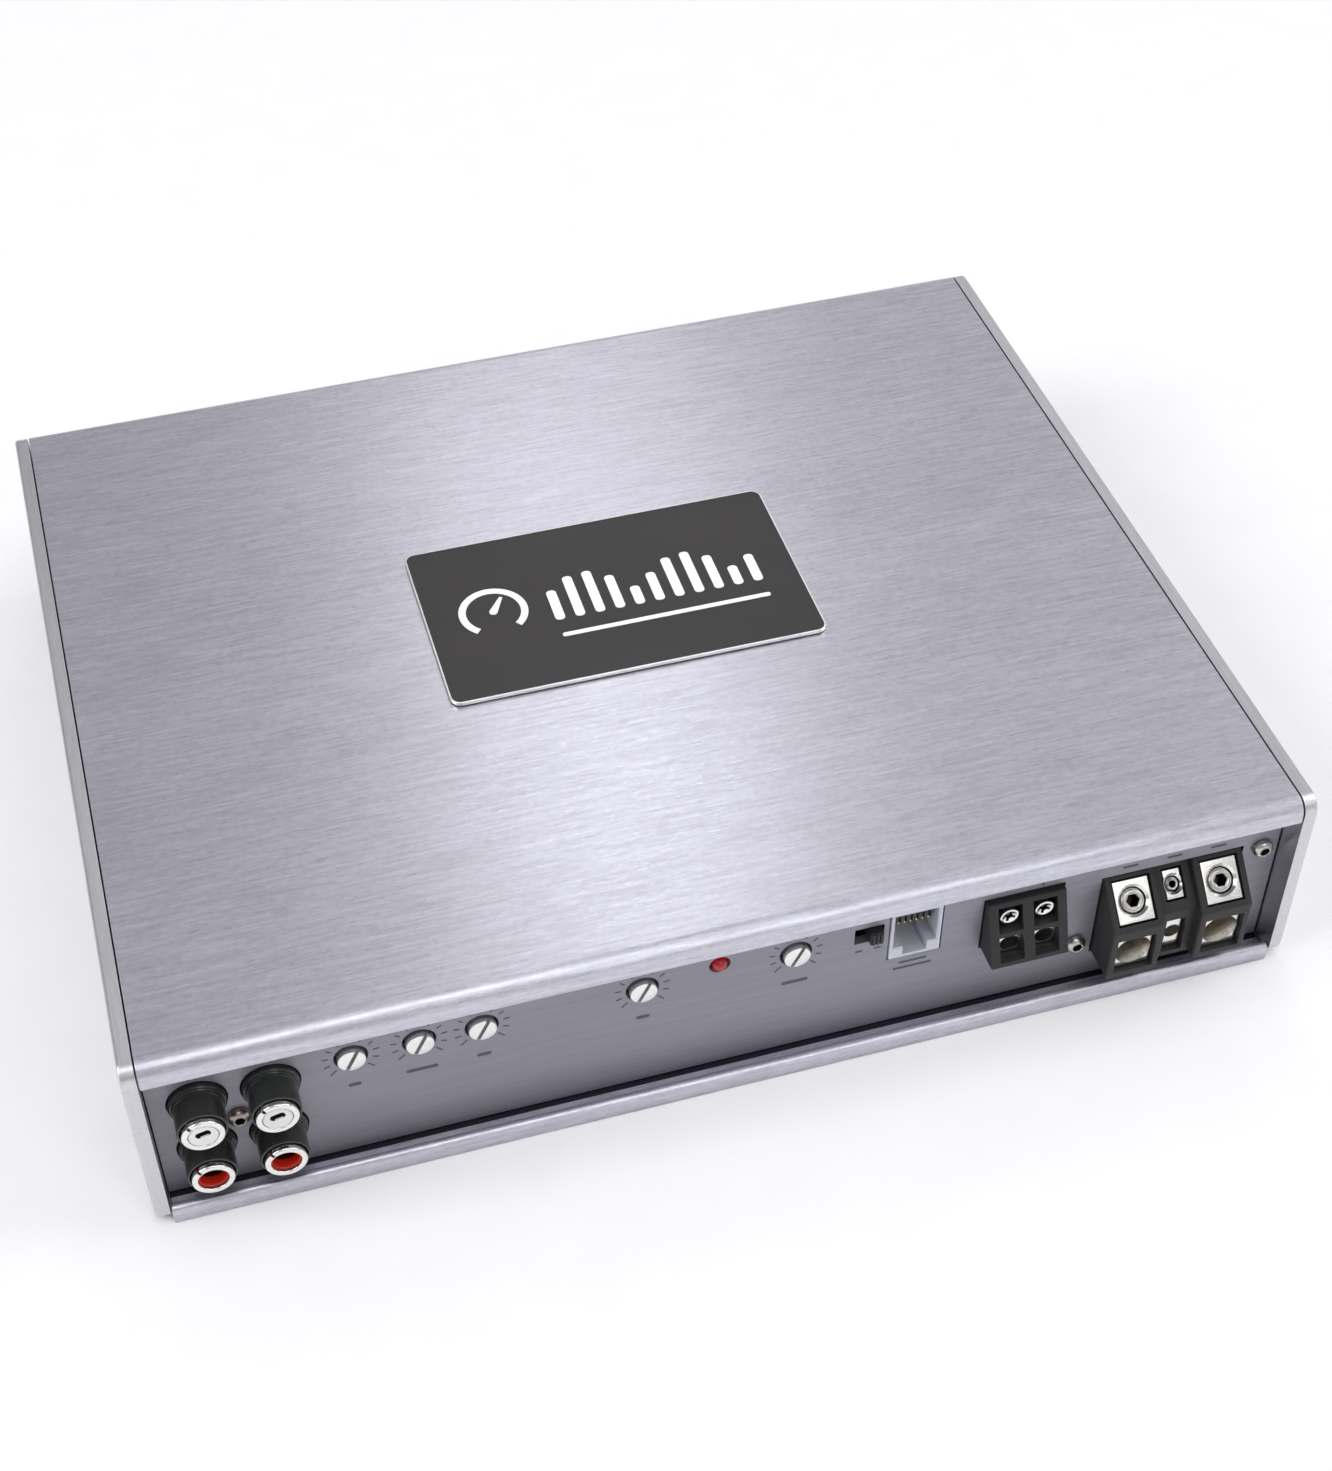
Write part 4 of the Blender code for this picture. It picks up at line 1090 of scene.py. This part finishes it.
def terminal_screw(node):
    """Screw with a domed rim, a dished face and a deep cross recess round a wide centre."""
    low, high = span(node)
    radius = (high.x - low.x) / 2
    length = high.y - low.y
    body = turned([
        (0, 0.35), (radius * 0.5, 0.3), (radius * 0.72, 0.05), (radius - 0.3, 0.0), (radius - 0.08, 0.08),
        (radius, 0.3), (radius, 2.4), (radius - 0.6, 2.4), (radius - 0.6, length), (0, length),
    ], 48)
    wing = radius * 0.62
    cross = [
        block(-0.33, 0.33, -PAST, 1.5, -wing, wing), block(-wing, wing, -PAST, 1.5, -0.33, 0.33),
        rod(radius * 0.34, -PAST, 1.7, segments=24),
    ]
    # The cross recess's faces get the second finish, painted dark as shade.
    screw = marked(cut(body, *cross), lambda spot: 0.36 < spot.y < 1.8 and off_axis(spot) < wing)
    return fronting(spun(screw, "Y", SPEAKER_CROSS_TURN), node)


def build_speaker_terminals():
    piece("speaker_housing", speaker_housing(), TERMINAL_BLACK, "black_plastic", "speaker_terminal_block")
    for number in (1, 2):
        cage, screw = f"speaker_clamp_{number}", f"speaker_screw_{number}"
        piece(f"speaker_cage_{number}", speaker_cage(cage), NICKEL, "bright_nickel", cage)
        piece(f"speaker_bolt_{number}", terminal_screw(screw), NICKEL, "bright_nickel", screw,
              body=screw, second=RECESS_SHADE_STEEL)


# Power terminals

POWER_LOW, POWER_HIGH = span("power_terminal_block")
POWER_CHIN = 14.0
POWER_WINDOW = (1.5, 11.4)
POWER_DEPTH = 17.0
CLAMP_DEPTH = 11.0
SET_SCREW_LENGTH = 8.5


class PowerCell:
    """One terminal: its width, how far it is set back, and the sizes of what is in it."""

    def __init__(self, word, width, inset, cavity, slope, bore, screw):
        self.x = middle(f"power_clamp_{word}").x
        self.nose = POWER_LOW.y + inset
        self.width, self.cavity, self.slope = width, cavity, slope
        self.bore, self.screw = bore, screw

    def outline(self):
        """Side outline: an upright lower face, then a slope leaning back at 45 degrees."""
        rise = POWER_HIGH.z - POWER_LOW.z - POWER_CHIN
        return [
            (self.nose, POWER_LOW.z), (self.nose, POWER_LOW.z + POWER_CHIN),
            (self.nose + rise, POWER_HIGH.z), (POWER_HIGH.y, POWER_HIGH.z), (POWER_HIGH.y, POWER_LOW.z),
        ]

    def on_slope(self, along, depth=0.0):
        """A point at a distance up the slope and at a depth below it, in the side view."""
        y = self.nose + (along + depth) * math.sqrt(0.5)
        return y, POWER_LOW.z + POWER_CHIN + (along - depth) * math.sqrt(0.5)

    def window(self, front, shrink):
        """The wire's way in the lower face, or the body of the clamp there when shrunk."""
        half = self.cavity / 2 - shrink
        low, high = (POWER_LOW.z + z for z in POWER_WINDOW)
        back = POWER_LOW.y + POWER_DEPTH - shrink
        return block(self.x - half, self.x + half, self.nose + front, back, low + shrink, high - shrink)

    def well(self, front, shrink):
        """The opening in the slope, or the head of the clamp in it when shrunk."""
        half = self.cavity / 2 - shrink
        low, high = self.slope[0] + shrink, self.slope[1] - shrink
        deep = CLAMP_DEPTH - shrink
        corners = ((low, front), (high, front), (high, deep), (low, deep))
        return prism([self.on_slope(*corner) for corner in corners], self.x - half, self.x + half)

    def screw_head(self):
        """The middle of the set screw's face, just below the clamp's."""
        return (self.x, *self.on_slope(sum(self.slope) / 2, 0.7))

    def clamp(self):
        """Plated block with a wire bore and a threaded hole with a countersink in its sloping head."""
        solid = fused(softened(self.window(1.2, GAP), 0.3), softened(self.well(0.4, GAP), 0.3))
        low, high = (POWER_LOW.z + z for z in POWER_WINDOW)
        mouth = self.cavity / 2 - GAP - 0.15
        deep = POWER_LOW.y + POWER_DEPTH - 2.0 - self.nose
        axis_z = (low + high) / 2
        wire = turned([
            (0, 0.0), (mouth, 0.0), (mouth, 1.3), (self.bore + 0.1, 3.6), (self.bore, 4.0), (self.bore, deep),
            (0, deep),
        ], at=(self.x, self.nose, axis_z))
        hole, foot = self.screw + GAP, CLAMP_DEPTH - 1.2
        thread = turned([
            (0, -3.0), (hole + 0.55, -3.0), (hole + 0.55, -0.3), (hole, 0.2), (hole, foot), (0, foot),
        ])

        def in_bore(spot):
            return spot.y > self.nose + 3.0 and off_axis(spot, self.x, axis_z) < mouth - 0.05

        return marked(cut(solid, wire, moved(spun(thread, "X", -45), *self.screw_head())), in_bore)

    def set_screw(self):
        """Threaded plug with a chamfered rim and a deep hexagon socket."""
        radius, length = self.screw, SET_SCREW_LENGTH
        socket = radius * 0.58
        groove = ((0.0, 0.0), (0.2, 0.3), (0.0, 0.6))
        screw = turned([
            (0, 4.6), (socket, 4.2, 6), (socket, 0.12, 6), (socket + 0.12, 0.0), (radius - 0.5, 0.0),
            (radius - 0.2, 0.15), (radius, 0.45), *thread(radius, groove, 0.62, 0.45, length - 1.4),
            (radius - 0.5, length), (0, length),
        ])
        # The socket's faces get the second finish, painted dark as shade.
        screw = marked(screw, lambda spot: spot.y > 0.2 and off_axis(spot) < socket)
        return moved(spun(screw, "X", -45), *self.screw_head())


POWER_CELLS = {
    "ground": PowerCell("ground", 11.4, 0.0, 8.7, (1.2, 11.0), 3.3, 2.6),
    "remote": PowerCell("remote", 10.0, 2.4, 4.6, (2.2, 9.2), 1.7, 1.4),
    "battery": PowerCell("battery", 11.4, 0.0, 8.7, (1.2, 11.0), 3.3, 2.6),
}


def power_housing():
    """Three blocks in one, each with a window for the wire and a well for the clamp's head."""
    bodies = []
    cutters = []
    for cell in POWER_CELLS.values():
        half = cell.width / 2
        bodies.append(softened(prism(cell.outline(), cell.x - half, cell.x + half), 0.45))
        cutters += [cell.window(-PAST, 0.0), cell.well(-PAST, 0.0)]
    return cut(fused(*bodies), *cutters)


def build_power_terminals():
    piece("power_housing", power_housing(), TERMINAL_BLACK, "black_plastic", "power_terminal_block")
    for word, cell in POWER_CELLS.items():
        clamp, screw = f"power_clamp_{word}", f"power_screw_{word}"
        piece(f"power_cage_{word}", cell.clamp(), NICKEL, "bright_nickel", clamp, second=BORE_NICKEL)
        piece(f"power_bolt_{word}", cell.set_screw(), SET_STEEL, "bright_nickel", screw,
              body=screw, second=RECESS_SHADE_STEEL)


# Badge

BADGE_EDGE = 0.35


def badge_mark(centre, top):
    """A generic mark: a dial arc with a pointer, then a row of level bars over a thin line."""
    low, high = top, top + 0.1
    scale = prism(arc((0, 0), 7.6, -50, 230, 60) + arc((0, 0), 6.0, 230, -50, 60), low, high, "Z")
    pointer = arc((0, 0), 0.9, 90, 270, 10) + [(0, -0.9), (5.0, -0.35), (5.0, 0.35), (0, 0.9)]
    pointer = spun(prism(pointer, low, high, "Z"), "Z", 58)
    dial = moved(joined(scale, pointer), centre.x - 26.5, centre.y + 1.0)
    foot = centre.y - 5.5
    bars = []
    for index in range(11):
        height = 5.0 + 9.0 * abs(math.sin(0.55 + index * 0.62))
        x = centre.x - 13.0 + index * 4.5
        bars.append(prism(rounded(x - 1.1, x + 1.1, foot, foot + height, (0.9,) * 4, 5), low, high, "Z"))
    line = rounded(centre.x - 13.9, centre.x + 33.0, centre.y - 11.0, centre.y - 9.8, (0.5,) * 4, 4)
    return joined(dial, *bars, prism(line, low, high, "Z"))


def badge_plate(inset, radius, under, over):
    """A plate with the badge's outline drawn in, from one distance below its top to another."""
    low, high = span("badge_plate")
    outline = rounded(low.x + inset, high.x - inset, low.y + inset, high.y - inset, (radius,) * 4)
    return prism(outline, high.z - under, high.z - over, "Z")


def build_badge():
    low, high = span("badge_plate")
    rim = softened(badge_plate(0.0, 2.5, high.z - low.z, 0.0), 0.12)
    recess = badge_plate(BADGE_EDGE, 2.0, 0.18, -PAST)
    piece("badge_rim", cut(rim, recess), DIAL_NICKEL, "bright_nickel", "badge_plate")
    piece("badge_face", badge_plate(BADGE_EDGE + 0.03, 1.95, 0.17, 0.04), BADGE_FACE, "charcoal_badge")
    mark = badge_mark(middle("badge_plate"), high.z - 0.03)
    piece("badge_mark", mark, WHITE_PRINT, "white_plastic")


# What the case holds

LEAD_PITCH = 4.0
TURN_STEPS = 14
WINDINGS = (("power_transformer", 8.5, 64, 0.42), ("output_inductor", 6.0, 34, 0.5))


def winding(node, core, turns, wire):
    """One continuous wire wound round a ring with its axis along Z."""
    low, high = span(node)
    mid = middle(node)
    reach = ((high.x - low.x) / 2 - wire - core) / 2
    rise = (high.z - low.z) / 2 - wire
    count = turns * TURN_STEPS
    points = []
    for index in range(count):
        around = 2 * math.pi * index / count
        phase = 2 * math.pi * index / TURN_STEPS
        flat = max(abs(math.cos(phase)), abs(math.sin(phase))) ** 0.6
        radius = core + reach + reach * math.cos(phase) / flat
        height = rise * math.sin(phase) / flat
        points.append(mid + Vector((radius * math.cos(around), radius * math.sin(around), height)))
    return tube(points, wire)


def tube(points, radius):
    """A closed loop of six-sided wire through points."""
    bm = bmesh.new()
    sides = 6
    rings = []
    for index, here in enumerate(points):
        ahead = (points[(index + 1) % len(points)] - points[index - 1]).normalized()
        side = ahead.cross(Vector((0.0, 0.0, 1.0)))
        side = side.normalized() if side.length > 1e-4 else Vector((1.0, 0.0, 0.0))
        up = side.cross(ahead)
        ring = []
        for step in range(sides):
            angle = 2 * math.pi * step / sides
            ring.append(bm.verts.new(here + radius * (side * math.cos(angle) + up * math.sin(angle))))
        rings.append(ring)
    bridged(bm, rings, sides)
    return finished(bm)


def ring_core(node, core, wire):
    """The taped ring inside a winding."""
    low, high = span(node)
    inset = 2.2 * wire
    outer = (high.x - low.x) / 2 - inset
    section = rounded(core + 1.2 * wire, outer, inset, high.z - low.z - inset, (1.5,) * 4, 6)
    return on_foot(upright(section, 72), node)


def capacitor(node):
    """Sleeved can with a crimp groove near its foot and a scored vent in its top."""
    low, high = span(node)
    radius, height = (high.x - low.x) / 2, high.z - low.z
    can = upright([
        (0, 0.0), (radius - 0.3, 0.0), (radius, 0.3), (radius, 2.2), (radius - 0.6, 3.0), (radius, 3.8),
        (radius, height - 0.8), (radius - 0.3, height - 0.15), (radius - 0.9, height),
        (radius - 1.2, height - 0.35), (0, height - 0.35),
    ])
    reach = radius * 0.6
    score = block(-reach, reach, -0.15, 0.15, height - 0.5, height + PAST)
    return on_foot(cut(can, *[spun(score, "Z", turn) for turn in (0.0, 60.0, 120.0)]), node)


def transistor(node):
    """Moulded case with a mounting hole and a round ejector dish in its front."""
    low, high = span(node)
    x = middle(node).x
    hole = rod(1.8, low.y - PAST, high.y + PAST, x, low.z + 15.0, 40)
    dish = rod(2.6, low.y - PAST, low.y + 0.5, x, low.z + 5.0, 40)
    return cut(softened(box_of(node), 0.3), hole, dish)


def transistor_leads(node):
    """Three flat leads between the case and the board."""
    low, high = span(node)
    sides = (high.y - 1.9, high.y - 1.3, BOARD_HIGH.z + 0.05, low.z - 0.05)
    xs = [middle(node).x + step * LEAD_PITCH for step in (-1, 0, 1)]
    return joined(*[block(x - 0.5, x + 0.5, *sides) for x in xs])


def build_inside():
    for node in ("main_board", "control_board"):
        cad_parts[node].data.materials.clear()
        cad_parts[node].data.materials.append(LAMINATE)
    for node, core, turns, wire in WINDINGS:
        piece(f"{node}_winding", winding(node, core, turns, wire), COPPER, "copper_winding", node)
        piece(f"{node}_core", ring_core(node, core, wire), BLACK, "black_plastic")
    for number in (1, 2):
        can, switch = f"filter_capacitor_{number}", f"power_transistor_{number}"
        piece(f"capacitor_can_{number}", capacitor(can), CAN_SLEEVE, "capacitor_sleeve", can)
        piece(f"transistor_case_{number}", transistor(switch), BLACK, "black_plastic", switch)
        piece(f"transistor_leads_{number}", transistor_leads(switch), TIN, "bright_nickel")


# Studio, with its places in metres

AZIMUTH = -16.3
ELEVATION = 45.0
ROLL = 0.2
DISTANCE = 0.534
FOCAL_LENGTH = 57.7
TARGET = Vector((0.009, -0.0085, 0.014))

# Name, place, aim, size and power. The glow is the band of light that the top mirrors.
SOFTBOXES = (
    ("glow", (0.258, 0.984, 1.21), (-0.012, -0.035, 0.048), (0.27, 0.34), 0.95),
    ("left_wing", (-1.7, -0.2, 1.5), (0.0, 0.0, 0.0), (1.2, 1.2), 22.0),
    ("right_wing", (1.7, -0.2, 1.5), (0.0, 0.0, 0.0), (1.2, 1.2), 16.0),
    ("overhead", (0.0, -0.7, 1.9), (0.0, 0.0, 0.0), (0.7, 0.7), 4.0),
    ("front_key", (0.32, -0.95, 0.84), (0.09, -0.1, 0.02), (0.4, 0.3), 1.0),
)


def camera():
    data = bpy.data.cameras.new("camera")
    data.lens = FOCAL_LENGTH
    data.sensor_width = 36.0
    data.clip_start = 0.01
    data.clip_end = 20.0
    across, above = math.radians(AZIMUTH), math.radians(ELEVATION)
    back = Vector((math.sin(across) * math.cos(above), -math.cos(across) * math.cos(above), math.sin(above)))
    turn = (-back).to_track_quat("-Z", "Y").to_matrix().to_4x4()
    obj = shown("camera", data)
    obj.matrix_world = (
        Matrix.Translation(TARGET + back * DISTANCE) @ turn @ Matrix.Rotation(math.radians(-ROLL), 4, "Z")
    )
    bpy.context.scene.camera = obj


def paper_floor():
    """Pale floor that is lit more the farther it is from the object, so that no dark horizon shows."""
    bm = bmesh.new()
    bmesh.ops.create_grid(bm, x_segments=2, y_segments=2, size=8.0)
    mesh = bpy.data.meshes.new("floor")
    bm.to_mesh(mesh)
    bm.free()
    paper = Finish("floor_paper", (0.92, 0.92, 0.925))
    fibre = paper.noise((60, 60, 60), 3.0, 0.6)
    paper.tone(fibre, 0.99, 1.01)
    paper.rough(fibre, 0.85, 0.95)
    distance = paper.node("ShaderNodeVectorMath", {0: paper.place}, operation="LENGTH").outputs["Value"]
    far_light = paper.ranged(distance, 0.0, 0.5, 0.6, 2.0)
    paper.tree.links.new(far_light, paper.shader.inputs["Emission Strength"])
    paper.set(Emission_Color=(1.0, 1.0, 1.0, 1.0))
    paper.material.cycles.emission_sampling = "NONE"
    mesh.materials.append(paper.done())
    shown("floor", mesh)


def sky():
    """Soft light from all round: bright at the horizon, greyer above, and dimmer from the left."""
    world = bpy.data.worlds.new("studio")
    bpy.context.scene.world = world
    world.use_nodes = True
    tree = world.node_tree
    background = tree.nodes["Background"]
    direction = tree.nodes.new("ShaderNodeTexCoord").outputs["Generated"]
    split = tree.nodes.new("ShaderNodeSeparateXYZ")
    ramp = tree.nodes.new("ShaderNodeValToRGB")
    dimmer = tree.nodes.new("ShaderNodeMapRange")
    tree.links.new(direction, split.inputs[0])
    tree.links.new(split.outputs["Z"], ramp.inputs["Fac"])
    tree.links.new(ramp.outputs["Color"], background.inputs["Color"])
    tree.links.new(split.outputs["X"], dimmer.inputs["Value"])
    tree.links.new(dimmer.outputs["Result"], background.inputs["Strength"])
    steps = ramp.color_ramp.elements
    steps[0].color = (1.3, 1.3, 1.32, 1.0)
    steps[1].position = 0.88
    steps[1].color = (0.74, 0.74, 0.76, 1.0)
    for position in (0.14, 0.5):
        steps.new(position).color = (0.62, 0.62, 0.64, 1.0)
    for name, value in (("From Min", -0.12), ("From Max", 0.3), ("To Min", 0.66), ("To Max", 0.92)):
        dimmer.inputs[name].default_value = value


def softbox(name, place, aim, size, power):
    """A rectangular lamp aimed at a point."""
    data = bpy.data.lights.new(name, "AREA")
    data.shape = "RECTANGLE"
    data.size, data.size_y = size
    data.energy = power
    obj = shown(name, data)
    obj.location = place
    obj.rotation_euler = (Vector(aim) - Vector(place)).to_track_quat("-Z", "Y").to_euler()


def studio():
    paper_floor()
    sky()
    for lamp in SOFTBOXES:
        softbox(*lamp)
    bpy.context.scene.view_settings.view_transform = "Standard"
    bpy.context.scene.view_settings.look = "None"


camera()
studio()
build_case()
build_panel()
build_sockets()
build_controls()
build_jack()
build_speaker_terminals()
build_power_terminals()
build_badge()
build_inside()
